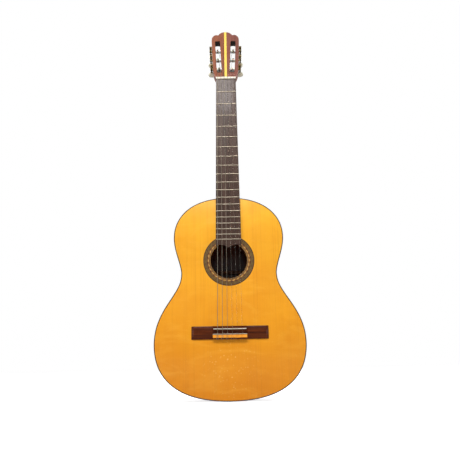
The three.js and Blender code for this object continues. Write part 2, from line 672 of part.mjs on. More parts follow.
add(group, 'neck', neck(), WOOD.cedar, 0.4);
add(group, 'heel_cap', heelCap(), WOOD.dark, 0.3);
add(group, 'fingerboard', fingerboard(), '#4b3833', 0.45);
add(group, 'nut', nut(), '#efe9da', 0.35);
add(group, 'bridge', bridge(), '#4a2116', 0.3);
add(group, 'saddle', saddle(), '#efe9da', 0.35);
add(group, 'tie_strip', tieStrip(), WOOD.top, 0.3);
STRING_RADII.forEach((radius, i) =>
  add(group, `string_${6 - i}`, string(i), i < 3 ? '#b9b4ab' : '#e8e4da', 0.3, i < 3 ? 0.8 : 0));

const head = new THREE.Group();
head.rotation.x = -HEAD_TILT;
head.position.z = HEAD_ROOT_Z;
group.add(head);
add(head, 'head_veneer_bass', headVeneer(-1), '#7c3f2b', 0.35);
add(head, 'head_veneer_treble', headVeneer(1), '#7c3f2b', 0.35);
add(head, 'head_stripe', headStripe(), '#f2d24a', 0.35);

for (const side of [-1, 1]) {
  const hand = (geometry) => (side > 0 ? geometry : mirrored(geometry));
  const sideGroup = (s) => {
    const nest = new THREE.Group();
    nest.position.set(side * (SIDE_MID.x + (s - SIDE_MID.s) * Math.tan(SIDE_LEAN)), HEAD_THICK / 2, s);
    nest.rotation.y = side * SIDE_LEAN;
    head.add(nest);
    return nest;
  };
  const plateName = side < 0 ? 'machine_plate_bass' : 'machine_plate_treble';
  add(sideGroup(TUNER_S[1]), plateName, hand(machinePlate()), '#a8843c', 0.35, 0.9);
  TUNER_S.forEach((s, i) => {
    const number = side < 0 ? 6 - i : i + 1;
    const nest = sideGroup(s);
    add(nest, `roller_${number}`, hand(roller()), '#f3f1ea', 0.4);
    add(nest, `worm_${number}`, hand(worm()), '#a8843c', 0.35, 0.9);
    add(nest, `button_${number}`, hand(button(BUTTON_TURNS[i])), '#efe6c8', 0.25);
  });
}

export default group;
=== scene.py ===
import json
import math

import bmesh
import bpy
from mathutils import Matrix, Vector

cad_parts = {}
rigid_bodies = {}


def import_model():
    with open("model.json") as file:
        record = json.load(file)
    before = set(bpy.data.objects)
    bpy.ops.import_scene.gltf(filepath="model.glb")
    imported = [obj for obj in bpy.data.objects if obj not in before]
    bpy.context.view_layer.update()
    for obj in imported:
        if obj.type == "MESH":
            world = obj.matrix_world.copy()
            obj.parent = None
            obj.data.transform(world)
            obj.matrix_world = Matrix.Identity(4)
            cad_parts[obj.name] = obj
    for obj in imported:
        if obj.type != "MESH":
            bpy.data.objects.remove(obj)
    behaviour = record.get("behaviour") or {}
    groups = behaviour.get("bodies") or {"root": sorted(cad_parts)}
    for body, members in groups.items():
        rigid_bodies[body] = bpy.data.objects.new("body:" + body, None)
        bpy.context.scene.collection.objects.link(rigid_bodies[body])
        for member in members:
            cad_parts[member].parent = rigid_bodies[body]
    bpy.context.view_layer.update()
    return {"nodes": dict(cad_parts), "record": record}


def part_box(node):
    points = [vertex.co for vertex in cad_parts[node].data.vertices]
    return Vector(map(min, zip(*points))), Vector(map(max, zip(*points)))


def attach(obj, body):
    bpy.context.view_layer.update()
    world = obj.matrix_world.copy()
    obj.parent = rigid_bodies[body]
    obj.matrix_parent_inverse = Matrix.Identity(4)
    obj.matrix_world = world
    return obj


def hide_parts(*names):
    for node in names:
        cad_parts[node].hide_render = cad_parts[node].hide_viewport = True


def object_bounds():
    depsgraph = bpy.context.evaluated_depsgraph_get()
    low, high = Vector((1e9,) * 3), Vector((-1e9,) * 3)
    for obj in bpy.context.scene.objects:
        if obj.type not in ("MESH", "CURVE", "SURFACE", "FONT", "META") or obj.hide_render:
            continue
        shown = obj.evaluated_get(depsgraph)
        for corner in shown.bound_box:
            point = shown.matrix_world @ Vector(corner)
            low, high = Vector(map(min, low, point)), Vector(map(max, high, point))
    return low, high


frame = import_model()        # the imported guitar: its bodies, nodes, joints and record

JOINTS = {joint["name"]: joint for joint in frame["record"]["behaviour"]["joints"]}

# ---- the guitar's driving sizes, in metres ----

SCALE_LENGTH = 0.650
FRET_COUNT = 19
STRING_RADII = [0.36e-3, 0.41e-3, 0.51e-3, 0.38e-3, 0.45e-3, 0.55e-3]    # first to sixth
NUT_SPACING = 8.6e-3
SADDLE_SPACING = 11.8e-3
ROLLER_LINES = [19.6e-3, 18.6e-3, 19.8e-3]      # where strings meet the rollers, from the nut up
ROLLER_RADIUS = 4.9e-3
HEAD_TILT = math.radians(18)
HEAD_ROOT_Z = 4e-3
HEAD_THICK = 17.5e-3
SIDE_LEAN = math.radians(2.26)                  # the head's straight sides lean outwards
SIDE_MID_X, SIDE_MID_S = 35.5e-3, 78e-3         # a point on a straight side
SLOT_CENTRE, SLOT_HALF = -16.3e-3, 6.8e-3       # measured in from the side
RAMP_FROM, SLOT_TO = 14.5e-3, 146.5e-3

TOP_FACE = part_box("soundboard")[0].y
BODY_LOW, BODY_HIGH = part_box("top_binding")
BINDING_HIGH = BODY_HIGH.y - BODY_LOW.y
BACK_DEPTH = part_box("back")[1].y
BACK_RADIUS = 4.5
BACK_CENTRE_Z = -0.608
HOLE_Z = (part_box("rosette")[0].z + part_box("rosette")[1].z) / 2
ROSETTE_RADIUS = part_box("rosette")[1].x
HOLE_RADIUS = 45.3e-3
BOARD_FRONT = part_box("fingerboard")[0].y + 1.0e-3
BOARD_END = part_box("fingerboard")[0].z
NUT_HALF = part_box("nut")[1].x
BOARD_TAPER = 0.01247


def board_half(z):
    return NUT_HALF - min(z, 0) * BOARD_TAPER


def back_depth(x, z):
    return BACK_DEPTH - (x * x + (z - BACK_CENTRE_Z) ** 2) / (2 * BACK_RADIUS)


# ---- camera ----

AIM = Vector((0.0042, -0.0013, -0.4087))
VIEW_DISTANCE = 1.397
VIEW_RISE = math.radians(12.76)
VIEW_ROLL = math.radians(0.98)


def make_camera():
    data = bpy.data.cameras.new("studio_camera")
    data.lens, data.sensor_width = 43.83, 36
    data.clip_start, data.clip_end = 0.05, 60
    camera = bpy.data.objects.new("studio_camera", data)
    bpy.context.scene.collection.objects.link(camera)
    ahead = Vector((0, math.cos(VIEW_RISE), math.sin(VIEW_RISE)))
    lift = Vector((0, -math.sin(VIEW_RISE), math.cos(VIEW_RISE)))
    across = Vector((1, 0, 0))
    right = across * math.cos(VIEW_ROLL) - lift * math.sin(VIEW_ROLL)
    up = across * math.sin(VIEW_ROLL) + lift * math.cos(VIEW_ROLL)
    turn = Matrix((right, up, -ahead)).transposed()
    camera.matrix_world = Matrix.Translation(AIM - ahead * VIEW_DISTANCE) @ turn.to_4x4()
    bpy.context.scene.camera = camera


make_camera()

# ---- mesh tools ----

WELD = 2e-6                                     # points closer than this are one point


def link(name, mesh):
    piece = bpy.data.objects.new(name, mesh)
    bpy.context.scene.collection.objects.link(piece)
    return piece


def outwards(piece, weld=0.0):
    """Merges doubles closer than weld and turns every face outwards."""
    work = bmesh.new()
    work.from_mesh(piece.data)
    if weld:
        bmesh.ops.remove_doubles(work, verts=work.verts, dist=weld)
    bmesh.ops.recalc_face_normals(work, faces=work.faces)
    work.to_mesh(piece.data)
    work.free()
    return piece


def solid(name, points, faces):
    mesh = bpy.data.meshes.new(name)
    mesh.from_pydata([tuple(p) for p in points], [], faces)
    return outwards(link(name, mesh))


def bake(piece):
    """Turns a piece with modifiers into a plain mesh."""
    graph = bpy.context.evaluated_depsgraph_get()
    mesh = bpy.data.meshes.new_from_object(piece.evaluated_get(graph))
    piece.modifiers.clear()
    piece.data = mesh
    return piece


def loft(name, sections, ring=False):
    """Skins a row of sections that have the same number of points each."""
    size = len(sections[0])
    points = [p for section in sections for p in section]
    faces = []
    for k in range(len(sections) if ring else len(sections) - 1):
        a, b = k * size, (k + 1) % len(sections) * size
        faces += [(a + i, a + (i + 1) % size, b + (i + 1) % size, b + i) for i in range(size)]
    if not ring:
        last = len(points) - size
        faces += [tuple(range(size)), tuple(range(last + size - 1, last - 1, -1))]
    return solid(name, points, faces)


def around(count):
    """Even angles, once round."""
    return [2 * math.pi * i / count for i in range(count)]


def lathe(name, profile, place, sides, squash=1.0):
    """Turns (along, radius) points round the place's Y axis; squash flattens it across its X."""
    sections = [[place @ Vector((radius * squash * math.cos(a), along, radius * math.sin(a)))
                 for a in around(sides)] for along, radius in profile]
    return loft(name, sections)


def tube(name, path, radius, sides=12):
    """A round tube along a path of points."""
    path = [Vector(p) for p in path]
    ahead = (path[1] - path[0]).normalized()
    side = ahead.orthogonal().normalized()
    sections = []
    for i, spot in enumerate(path):
        before, after = path[max(i - 1, 0)], path[min(i + 1, len(path) - 1)]
        along = (after - before).normalized()
        side = (side - along * side.dot(along)).normalized()
        other = along.cross(side)
        sections.append([spot + (side * math.cos(a) + other * math.sin(a)) * radius
                         for a in around(sides)])
    return loft(name, sections)


def smooth(points, steps, closed=False):
    """A smooth curve through the points, with some steps from each to the next."""
    count, last = len(points), len(points) - 1
    pick = lambda i: points[i % count] if closed else points[min(max(i, 0), last)]
    out = [blend_four(*(pick(i + k) for k in (-1, 0, 1, 2)), step / steps)
           for i in range(count if closed else last) for step in range(steps)]
    return out if closed else out + [points[last]]


def blend_four(p0, p1, p2, p3, t):
    """The point at t between p1 and p2 on the smooth curve through all four."""
    return 0.5 * (2 * p1 + (p2 - p0) * t + (2 * p0 - 5 * p1 + 4 * p2 - p3) * t * t
                  + (3 * p1 - p0 - 3 * p2 + p3) * t ** 3)


def inset_loop(points, inset):
    """A closed loop of points in the XZ plane, moved inwards."""
    count = len(points)
    area = sum(points[i - 1].x * points[i].z - points[i].x * points[i - 1].z for i in range(count))
    inset = math.copysign(inset, area)
    out = []
    for i, spot in enumerate(points):
        along = points[(i + 1) % count] - points[i - 1]
        out.append(spot + Vector((-along.z, 0, along.x)).normalized() * inset)
    return out


def front_outline(node):
    """The longest closed loop round a CAD node's flat front."""
    work = merged(frame["nodes"][node].data)
    work.normal_update()
    facing = [f for f in work.faces if f.normal.y < -0.9995]
    front = min(f.calc_center_median().y for f in facing)
    flat = {f for f in facing if f.calc_center_median().y - front < 1e-4}
    rim = dict.fromkeys(e for e in work.edges if sum(f in flat for f in e.link_faces) == 1)
    loops = []
    while rim:
        edge = rim.popitem()[0]
        first, at = edge.verts
        loop = [first.co.copy()]
        while at is not first:
            loop.append(at.co.copy())
            edge = next(e for e in at.link_edges if e in rim)
            del rim[edge]
            at = edge.other_vert(at)
        loops.append(loop)
    work.free()
    return max(loops, key=lambda loop: sum((p - q).length for p, q in zip(loop, loop[1:])))


def plate(name, loops, thick, place, edge=0.0):
    """A flat plate with rounded edges: loops of (x, y) points, the outer one first."""
    data = bpy.data.curves.new(name, "CURVE")
    data.dimensions, data.fill_mode = "2D", "BOTH"
    data.extrude, data.bevel_depth = thick / 2 - edge, edge
    data.bevel_resolution, data.offset = 2, -edge
    for loop in loops:
        spline = data.splines.new("POLY")
        spline.points.add(len(loop) - 1)
        for point, (x, y) in zip(spline.points, loop):
            point.co = (x, y, 0, 1)
        spline.use_cyclic_u = True
    curve = link(name + "_outline", data)
    graph = bpy.context.evaluated_depsgraph_get()
    mesh = bpy.data.meshes.new_from_object(curve.evaluated_get(graph))
    bpy.data.objects.remove(curve)
    mesh.name = name
    mesh.transform(place)
    return outwards(link(name, mesh), weld=1e-6)


def merged(mesh):
    """A CAD mesh's loose triangles, joined into one skin."""
    work = bmesh.new()
    work.from_mesh(mesh)
    bmesh.ops.remove_doubles(work, verts=work.verts, dist=WELD)
    return work


def refined(node, flat=1.0):
    """A clean copy of a CAD node's mesh, with its flat faces made whole."""
    piece = link("fine_" + node, frame["nodes"][node].data.copy())
    work = merged(piece.data)
    bmesh.ops.dissolve_limit(work, angle_limit=math.radians(flat), verts=work.verts,
                             edges=work.edges)
    work.to_mesh(piece.data)
    work.free()
    return piece


def cut_from(piece, *tools):
    for tool in tools:
        carve = piece.modifiers.new("cut", "BOOLEAN")
        carve.operation, carve.solver, carve.object = "DIFFERENCE", "EXACT", tool
    bake(piece)
    for tool in tools:
        bpy.data.objects.remove(tool)
    return piece


def settle(piece, material, replaces=(), body="guitar", bevel=0.0, sharp=32, segments=2):
    """Rounds a piece's edges, gives it its finish and fixes it to its body."""
    if bevel:
        edges = piece.modifiers.new("edges", "BEVEL")
        edges.width, edges.segments = bevel, segments
        edges.limit_method, edges.angle_limit = "ANGLE", math.radians(sharp)
        bake(piece)
    for face in piece.data.polygons:
        face.use_smooth = True
        face.material_index = 0
    piece.data.set_sharp_from_angle(angle=math.radians(sharp))
    if bevel:
        even = piece.modifiers.new("even_shading", "WEIGHTED_NORMAL")
        even.keep_sharp, even.weight = True, 100
        bake(piece)
    piece.data.materials.clear()
    piece.data.materials.append(material)
    if replaces:
        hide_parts(*replaces)
    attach(piece, body)
    return piece


# ---- shader groups ----


class Tree:
    """Adds nodes to a node tree and wires them by name."""

    def __init__(self, tree):
        self.tree = tree

    def put(self, socket, value):
        """Links a node's output to a socket, or sets the socket to a plain value."""
        if hasattr(value, "is_output"):
            self.tree.links.new(value, socket)
        else:
            socket.default_value = value

    def add(self, kind, inputs=None, **settings):
        node = self.tree.nodes.new(kind)
        for key, value in settings.items():
            setattr(node, key, value)
        for key, value in (inputs or {}).items():
            self.put(node.inputs[key], value)
        return node

    def math(self, operation, a, b):
        return self.add("ShaderNodeMath", {0: a, 1: b}, operation=operation).outputs[0]

    def times(self, a, b):
        return self.math("MULTIPLY", a, b)

    def plus(self, a, b):
        return self.math("ADD", a, b)

    def mix(self, factor, a, b):
        return self.add("ShaderNodeMix", {0: factor, 6: a, 7: b}, data_type="RGBA").outputs[2]

    def stretch(self, vector, x, y, z):
        return self.add("ShaderNodeMapping", {"Vector": vector, "Scale": (x, y, z)}).outputs[0]

    def noise(self, vector, scale, detail=4.0, rough=0.55, warp=0.0):
        node = self.add("ShaderNodeTexNoise", {"Vector": vector, "Scale": scale, "Detail": detail,
                                               "Roughness": rough, "Distortion": warp})
        return node.outputs["Fac"]

    def cells(self, vector, scale):
        """How far a point is from the middle of its cell."""
        node = self.add("ShaderNodeTexVoronoi", {"Vector": vector, "Scale": scale})
        return node.outputs["Distance"]

    def ramp(self, value, stops):
        node = self.add("ShaderNodeValToRGB", {"Fac": value})
        node.color_ramp.elements[0].position, node.color_ramp.elements[0].color = stops[0]
        node.color_ramp.elements[1].position, node.color_ramp.elements[1].color = stops[-1]
        for position, color in stops[1:-1]:
            node.color_ramp.elements.new(position).color = color
        return node.outputs["Color"]

    def spread(self, value, low, high, to_low=0.0, to_high=1.0):
        node = self.add("ShaderNodeMapRange", {"Value": value, "From Min": low, "From Max": high,
                                               "To Min": to_low, "To Max": to_high})
        return node.outputs["Result"]


def shader_group(name, inputs, outputs, build):
    """A node group whose sockets are (name, default) inputs and named outputs."""
    group = bpy.data.node_groups.new(name, "ShaderNodeTree")
    for socket, default in inputs:
        kind = "NodeSocketVector" if default is None else "NodeSocketFloat"
        made = group.interface.new_socket(name=socket, in_out="INPUT", socket_type=kind)
        if default is not None:
            made.default_value = default
    for socket in outputs:
        group.interface.new_socket(name=socket, in_out="OUTPUT", socket_type="NodeSocketFloat")
    tree = Tree(group)
    start, end = group.nodes.new("NodeGroupInput"), group.nodes.new("NodeGroupOutput")
    for socket, value in build(tree, start.outputs).items():
        group.links.new(value, end.inputs[socket])
    return group


def build_grain(tree, given):
    """Wood whose grain runs along the vector's Z: rings, streaks and open pores."""
    across = given["Across"]
    scale = tree.add("ShaderNodeCombineXYZ", {"X": across, "Y": across, "Z": given["Along"]})
    long = tree.add("ShaderNodeVectorMath", {0: given["Vector"], 1: scale.outputs[0]},
                    operation="MULTIPLY").outputs[0]
    bands = tree.noise(long, 1.0, 5.0, 0.6, given["Warp"])
    fine = tree.noise(long, 5.3, 3.0, 0.65)
    streak = tree.plus(tree.times(bands, 0.65), tree.times(fine, 0.35))
    pore = tree.spread(tree.noise(long, 13.0, 2.0, 0.5), 0.60, 0.68)
    height = tree.math("SUBTRACT", tree.times(streak, 0.4), tree.times(pore, 0.6))
    return {"Streak": tree.spread(streak, 0.3, 0.7), "Pore": pore, "Height": height}


def build_figure(tree, given):
    """The top's figure: faint annual lines, cross silk and small curls."""
    vector = given["Vector"]
    lines = tree.noise(tree.stretch(vector, 620, 620, 3), 1.0, 2.0, 0.5)
    wide = tree.noise(tree.stretch(vector, 90, 90, 1.2), 1.0, 3.0, 0.5)
    silk = tree.noise(tree.stretch(vector, 16, 16, 90), 1.0, 4.0, 0.6, 0.4)
    curl = tree.noise(tree.stretch(vector, 9, 9, 22), 1.0, 5.0, 0.6, 1.3)
    blotch = tree.noise(vector, 9.0, 4.0, 0.55, 0.6)
    lines = tree.plus(tree.times(lines, 0.6), tree.times(wide, 0.4))
    return {"Lines": lines, "Silk": tree.spread(silk, 0.35, 0.72),
            "Curl": tree.spread(curl, 0.52, 0.74), "Blotch": tree.spread(blotch, 0.3, 0.7)}


def build_handling(tree, given):
    """Fine scratches and rubbed patches, as a roughness offset and a small height."""
    vector = given["Vector"]
    patches = tree.noise(vector, given["Scale"], 5.0, 0.6)
    hair = tree.noise(tree.stretch(vector, 900, 900, 60), 1.0, 2.0, 0.5, 2.0)
    rough = tree.times(tree.spread(patches, 0.35, 0.7), given["Amount"])
    return {"Rough": rough, "Height": tree.times(hair, 0.1)}


GRAIN = shader_group(
    "wood_grain", [("Vector", None), ("Across", 200.0), ("Along", 6.0), ("Warp", 0.3)],
    ["Streak", "Pore", "Height"], build_grain)
FIGURE = shader_group("top_figure", [("Vector", None)], ["Lines", "Silk", "Curl", "Blotch"],
                      build_figure)
HANDLING = shader_group("handling", [("Vector", None), ("Scale", 14.0), ("Amount", 0.1)],
                        ["Rough", "Height"], build_handling)


def use(tree, group, **inputs):
    return tree.add("ShaderNodeGroup", inputs, node_tree=group).outputs


def start_material(name, turn=(0, 0, 0), **settings):
    """A material with its shader, and the object's own coordinates turned by an angle."""
    material = bpy.data.materials.new(name)
    material.use_nodes = True
    tree = Tree(material.node_tree)
    shader = material.node_tree.nodes["Principled BSDF"]
    for key, value in settings.items():
        shader.inputs[key.replace("_", " ")].default_value = value
    place = tree.add("ShaderNodeTexCoord").outputs["Object"]
    vector = tree.add("ShaderNodeMapping", {"Vector": place, "Rotation": turn}).outputs[0]
    return material, tree, shader, vector


def finish_material(tree, shader, color, rough=None, height=None, depth=0.0002, strength=0.5):
    tree.put(shader.inputs["Base Color"], color)
    if rough is not None:
        tree.put(shader.inputs["Roughness"], rough)
    if height is not None:
        bump = tree.add("ShaderNodeBump",
                        {"Height": height, "Distance": depth, "Strength": strength})
        tree.put(shader.inputs["Normal"], bump.outputs["Normal"])


def rgb(red, green, blue):
    """A screen colour, 0 to 255, as the linear colour that shaders take."""
    linear = lambda c: c / 12.92 if c <= 0.04045 else ((c + 0.055) / 1.055) ** 2.4
    return tuple(linear(c / 255) for c in (red, green, blue)) + (1.0,)


def wood(name, dark, middle, light, across, along, warp=0.3, pores=0.5, gloss=0.3,
         coat=0.4, turn=(0, 0, 0), bump=0.35, shine=0.45):
    """A finished wood: colour from its streaks, darker pores, and a coat of lacquer."""
    dark, middle, light = rgb(*dark), rgb(*middle), rgb(*light)
    material, tree, shader, vector = start_material(
        name, turn, Coat_Weight=coat, Coat_Roughness=0.12, Specular_IOR_Level=shine)
    grain = use(tree, GRAIN, Vector=vector, Across=across, Along=along, Warp=warp)
    color = tree.ramp(grain["Streak"], [(0.0, dark), (0.5, middle), (1.0, light)])
    pore = tree.times(grain["Pore"], pores)
    color = tree.mix(pore, color, tuple(c * 0.35 for c in dark[:3]) + (1,))
    worn = use(tree, HANDLING, Vector=vector, Scale=14.0, Amount=0.12)
    rough = tree.plus(worn["Rough"], gloss)
    height = tree.plus(grain["Height"], worn["Height"])
    finish_material(tree, shader, color, rough, height, strength=bump)
    return material


# ---- materials ----


def inlay(name, dark, middle, light, across, along=60, pores=0.2, gloss=0.4, coat=0.1):
    """A fine, dull veneer for the rosette."""
    return wood(name, dark, middle, light, across, along, pores=pores, gloss=gloss, coat=coat)


FLECK_SPOT = (0.0, 0.0, -0.745)                 # pale flecks gather below the bridge


def make_top_wood():
    """Golden spruce under a gloss lacquer, with painted light that makes it lighter towards the
    neck.
    """
    material, tree, shader, vector = start_material(
        "golden_top", Coat_Weight=0.25, Coat_Roughness=0.12, Specular_IOR_Level=0.25)
    figure = use(tree, FIGURE, Vector=vector)
    height = tree.add("ShaderNodeSeparateXYZ", {"Vector": vector}).outputs["Z"]
    # painted light: the colour runs from darker at the tail to lighter towards the neck, standing
    # in for the lamp above
    painted_light_by_height = tree.spread(height, BODY_LOW.z, BODY_HIGH.z)
    color = tree.mix(painted_light_by_height, rgb(228, 138, 12), rgb(250, 186, 50))
    color = tree.mix(tree.times(figure["Blotch"], 0.42), color, rgb(214, 124, 20))
    color = tree.mix(tree.spread(figure["Lines"], 0.50, 0.64, 0.0, 0.26), color, rgb(200, 116, 18))
    color = tree.mix(tree.times(figure["Silk"], 0.10), color, rgb(252, 180, 62))
    color = tree.mix(tree.times(figure["Curl"], 0.27), color, rgb(255, 192, 74))
    flecks = tree.cells(vector, 150.0)
    patch = tree.spread(tree.noise(vector, 34.0, 2.0), 0.40, 0.56)
    below = tree.add("ShaderNodeVectorMath", {0: vector, 1: FLECK_SPOT},
                     operation="DISTANCE").outputs["Value"]
    patch = tree.times(patch, tree.spread(below, 0.075, 0.025, 0.08, 0.85))
    fleck = tree.times(tree.spread(flecks, 0.3, 0.05), patch)
    color = tree.mix(fleck, color, rgb(255, 206, 112))
    worn = use(tree, HANDLING, Vector=vector, Scale=11.0, Amount=0.08)
    bump = tree.plus(tree.times(figure["Silk"], 0.5),
                     tree.plus(figure["Lines"], worn["Height"]))
    finish_material(tree, shader, color, tree.plus(worn["Rough"], 0.28), bump, strength=0.16)
    return material


def make_metal(name, bright, dull, polish, stain):
    """Worn metal: a bright colour with dull stain in patches and hollows."""
    material, tree, shader, vector = start_material(name, Metallic=1.0)
    stains = tree.spread(tree.noise(vector, 240.0, 5.0, 0.65), 0.40, 0.66)
    color = tree.mix(tree.times(stains, stain), bright, dull)
    scratches = tree.noise(tree.stretch(vector, 3000, 400, 900), 1.0, 3.0, 0.6)
    rough = tree.plus(tree.times(stains, 0.22), polish)
    finish_material(tree, shader, color, rough, scratches, depth=0.00005, strength=0.25)
    return material


def make_wound_string():
    """Silver-plated winding: fine turns across the string, with painted shade in the grooves
    between them.
    """
    material, tree, shader, vector = start_material("wound_string", Metallic=0.7)
    turns = tree.add("ShaderNodeTexWave", {"Vector": vector, "Scale": 900.0, "Distortion": 0.0},
                     bands_direction="Z", wave_profile="SIN").outputs["Fac"]
    tarnish = tree.spread(tree.noise(vector, 60.0, 4.0), 0.35, 0.7)
    color = tree.mix(tree.times(tarnish, 0.5), rgb(164, 154, 136), rgb(104, 90, 70))
    # painted shade: the grooves between the turns are coloured darker
    color = tree.mix(tree.spread(turns, 0.3, 0.0, 0.0, 0.6), color, rgb(70, 62, 52))
    finish_material(tree, shader, color, tree.plus(tree.times(tarnish, 0.2), 0.4),
                    turns, depth=0.0001, strength=0.4)
    return material


def make_nylon():
    material, tree, shader, vector = start_material(
        "clear_nylon", Transmission_Weight=0.96, IOR=1.2, Specular_IOR_Level=0.2)
    cloud = tree.noise(vector, 90.0, 3.0)
    color = tree.mix(tree.spread(cloud, 0.3, 0.7), rgb(250, 246, 236), rgb(228, 220, 202))
    rough = tree.spread(cloud, 0.3, 0.7, 0.12, 0.28)
    finish_material(tree, shader, color, rough, cloud, depth=0.00003, strength=0.2)
    return material


def make_bone():
    material, tree, shader, vector = start_material(
        "polished_bone", Subsurface_Weight=0.1, Subsurface_Scale=0.002, Coat_Weight=0.2)
    streaks = tree.noise(tree.stretch(vector, 60, 700, 700), 1.0, 4.0)
    color = tree.mix(tree.spread(streaks, 0.35, 0.7), rgb(224, 216, 200), rgb(194, 182, 158))
    rough = tree.spread(streaks, 0.3, 0.7, 0.26, 0.42)
    finish_material(tree, shader, color, rough, streaks, depth=0.00004, strength=0.25)
    return material


def make_moulded_white():
    material, tree, shader, vector = start_material(
        "roller_white", Subsurface_Weight=0.15, Subsurface_Scale=0.002, Specular_IOR_Level=0.5)
    grime = tree.spread(tree.noise(vector, 210.0, 4.0), 0.5, 0.8)
    color = tree.mix(tree.times(grime, 0.35), rgb(248, 247, 242), rgb(196, 186, 164))
    finish_material(tree, shader, color, tree.spread(grime, 0.0, 1.0, 0.2, 0.4), grime,
                    depth=0.00004, strength=0.2)
    return material


def make_pearl():
    """Cream pearl: swirled bright flakes under a polished skin."""
    material, tree, shader, vector = start_material(
        "cream_pearl", Coat_Weight=0.8, Coat_Roughness=0.06, Sheen_Weight=0.1)
    swirl = tree.noise(vector, 130.0, 3.0, 0.5, 2.2)
    cells = tree.cells(vector, 260.0)
    color = tree.ramp(swirl, [(0.32, rgb(214, 202, 166)), (0.5, rgb(244, 236, 208)),
                              (0.68, rgb(255, 252, 238))])
    color = tree.mix(tree.spread(cells, 0.1, 0.6, 0.0, 0.25), color, rgb(208, 200, 168))
    finish_material(tree, shader, color, tree.spread(swirl, 0.3, 0.7, 0.18, 0.34), cells,
                    depth=0.00005, strength=0.12)
    return material


HEAD_TURN = (HEAD_TILT, 0, 0)
ACROSS_TURN = (0, math.radians(90), 0)

TOP_WOOD = make_top_wood()
STRIP_WOOD = wood("tie_strip_wood", (226, 128, 16), (248, 156, 30), (255, 176, 50), 260, 9,
                  pores=0.1, turn=ACROSS_TURN)
GLOSSY = {"pores": 0.6, "gloss": 0.22, "coat": 0.6}
RIM_WOOD = wood("rim_rosewood", (34, 12, 6), (80, 34, 18), (118, 56, 30), 70, 2.2, 0.9, **GLOSSY)
BACK_WOOD = wood("back_rosewood", (34, 12, 6), (84, 36, 19), (122, 58, 31), 55, 2.0, 1.1, **GLOSSY)
BINDING_WOOD = wood("dark_binding", (24, 9, 4), (48, 21, 10), (70, 34, 18), 300, 12,
                    gloss=0.36, coat=0.15)
NECK_WOOD = wood("neck_cedar", (92, 42, 24), (134, 68, 40), (160, 90, 56), 190, 5, 0.4,
                 pores=0.55, gloss=0.55, coat=0.0, shine=0.2)
# painted shade: a near-black colour for the walls inside the head's slots, where shade falls
SLOT_PAINTED_SHADE = wood("slot_painted_shade", (20, 9, 6), (38, 19, 12), (56, 30, 19), 190, 5, 0.4,
                  gloss=0.5, coat=0.1)
VENEER = {"across": 210, "along": 5, "warp": 0.5, "pores": 0.45, "gloss": 0.32, "turn": HEAD_TURN}
VENEER_BASS = wood("head_veneer_warm", (92, 38, 14), (130, 66, 32), (154, 84, 46), **VENEER)
VENEER_TREBLE = wood("head_veneer_red", (82, 34, 22), (116, 58, 42), (138, 74, 58), **VENEER)
STRIPE_WOOD = wood("yellow_stripe", (214, 176, 56), (232, 198, 82), (242, 212, 106), 260, 6,
                   pores=0.05, turn=HEAD_TURN)
BOARD_WOOD = wood("board_rosewood", (46, 30, 24), (72, 51, 42), (98, 74, 62), 230, 7, 0.5,
                  pores=0.7, gloss=0.42, coat=0.1, bump=0.5, shine=0.3)
BRIDGE_WOOD = wood("bridge_rosewood", (42, 13, 3), (82, 33, 8), (112, 54, 20), 240, 8, 0.5,
                   pores=0.6, gloss=0.34, coat=0.05, turn=ACROSS_TURN, bump=0.3, shine=0.14)
BARE = {"gloss": 0.6, "coat": 0.0, "bump": 0.5}
INNER_WOOD = wood("bare_spruce", (150, 112, 70), (190, 152, 104), (212, 178, 132), 300, 5,
                  pores=0.1, **BARE)
BLOCK_WOOD = wood("bare_cedar", (96, 54, 34), (134, 82, 54), (160, 106, 74), 200, 6,
                  pores=0.4, **BARE)
RING_DARK = inlay("rosette_dark", (34, 14, 6), (62, 32, 14), (84, 48, 24), 500)
RING_EDGE = inlay("rosette_edge_brown", (70, 54, 36), (102, 82, 58), (128, 106, 78), 500)
RING_OCHRE = inlay("rosette_ochre", (96, 58, 16), (130, 84, 26), (154, 104, 38), 420, pores=0.15)
RING_BROWN = inlay("rosette_brown", (84, 56, 22), (112, 78, 32), (138, 100, 46), 420)
RING_OLIVE = inlay("rosette_olive", (74, 56, 22), (102, 80, 34), (128, 102, 48), 420)
TILE_GOLD = inlay("tile_gold", (178, 126, 58), (216, 166, 88), (244, 204, 130), 600, 90,
                  pores=0.1, gloss=0.3, coat=0.4)
TILE_RED = inlay("tile_red", (46, 8, 6), (72, 18, 12), (92, 30, 20), 600, 90)
TILE_BROWN = inlay("tile_brown", (64, 28, 14), (90, 44, 24), (112, 60, 34), 600, 90)
BONE = make_bone()
WOUND = make_wound_string()
NYLON = make_nylon()
FRET_METAL = make_metal("nickel_silver", rgb(172, 160, 142), rgb(112, 98, 80), 0.3, 0.5)
BRASS = make_metal("antique_brass", rgb(120, 100, 60), rgb(26, 20, 12), 0.34, 1.0)
STEEL = make_metal("plated_steel", rgb(150, 138, 104), rgb(60, 50, 32), 0.3, 0.7)
WHITE = make_moulded_white()
PEARL = make_pearl()

# ---- body ----

RIM = smooth([Vector((p.x, 0, p.z)) for p in front_outline("top_binding")], 4, closed=True)
RIB_THICK = 2.2e-3
BACK_THICK = 2.6e-3
HEEL_ROOM = 8.2e-3                              # a rib ends this far from the middle, at the heel
INLAY_PROUD = 0.16e-3                           # the back strip stands this far above the back
CENTRE = Vector((0, 0, -0.575))


def at_depth(loop, depth):
    return [Vector((p.x, depth(p.x, p.z) if callable(depth) else depth, p.z)) for p in loop]


def rim_sections(front, back):
    """Four-cornered sections along the body's outline, as thick as a rib, between two depths."""
    inner = inset_loop(RIM, RIB_THICK)
    return list(zip(at_depth(RIM, front), at_depth(RIM, back),
                    at_depth(inner, back), at_depth(inner, front)))


def under_binding(x, z):
    return back_depth(x, z) - BINDING_HIGH


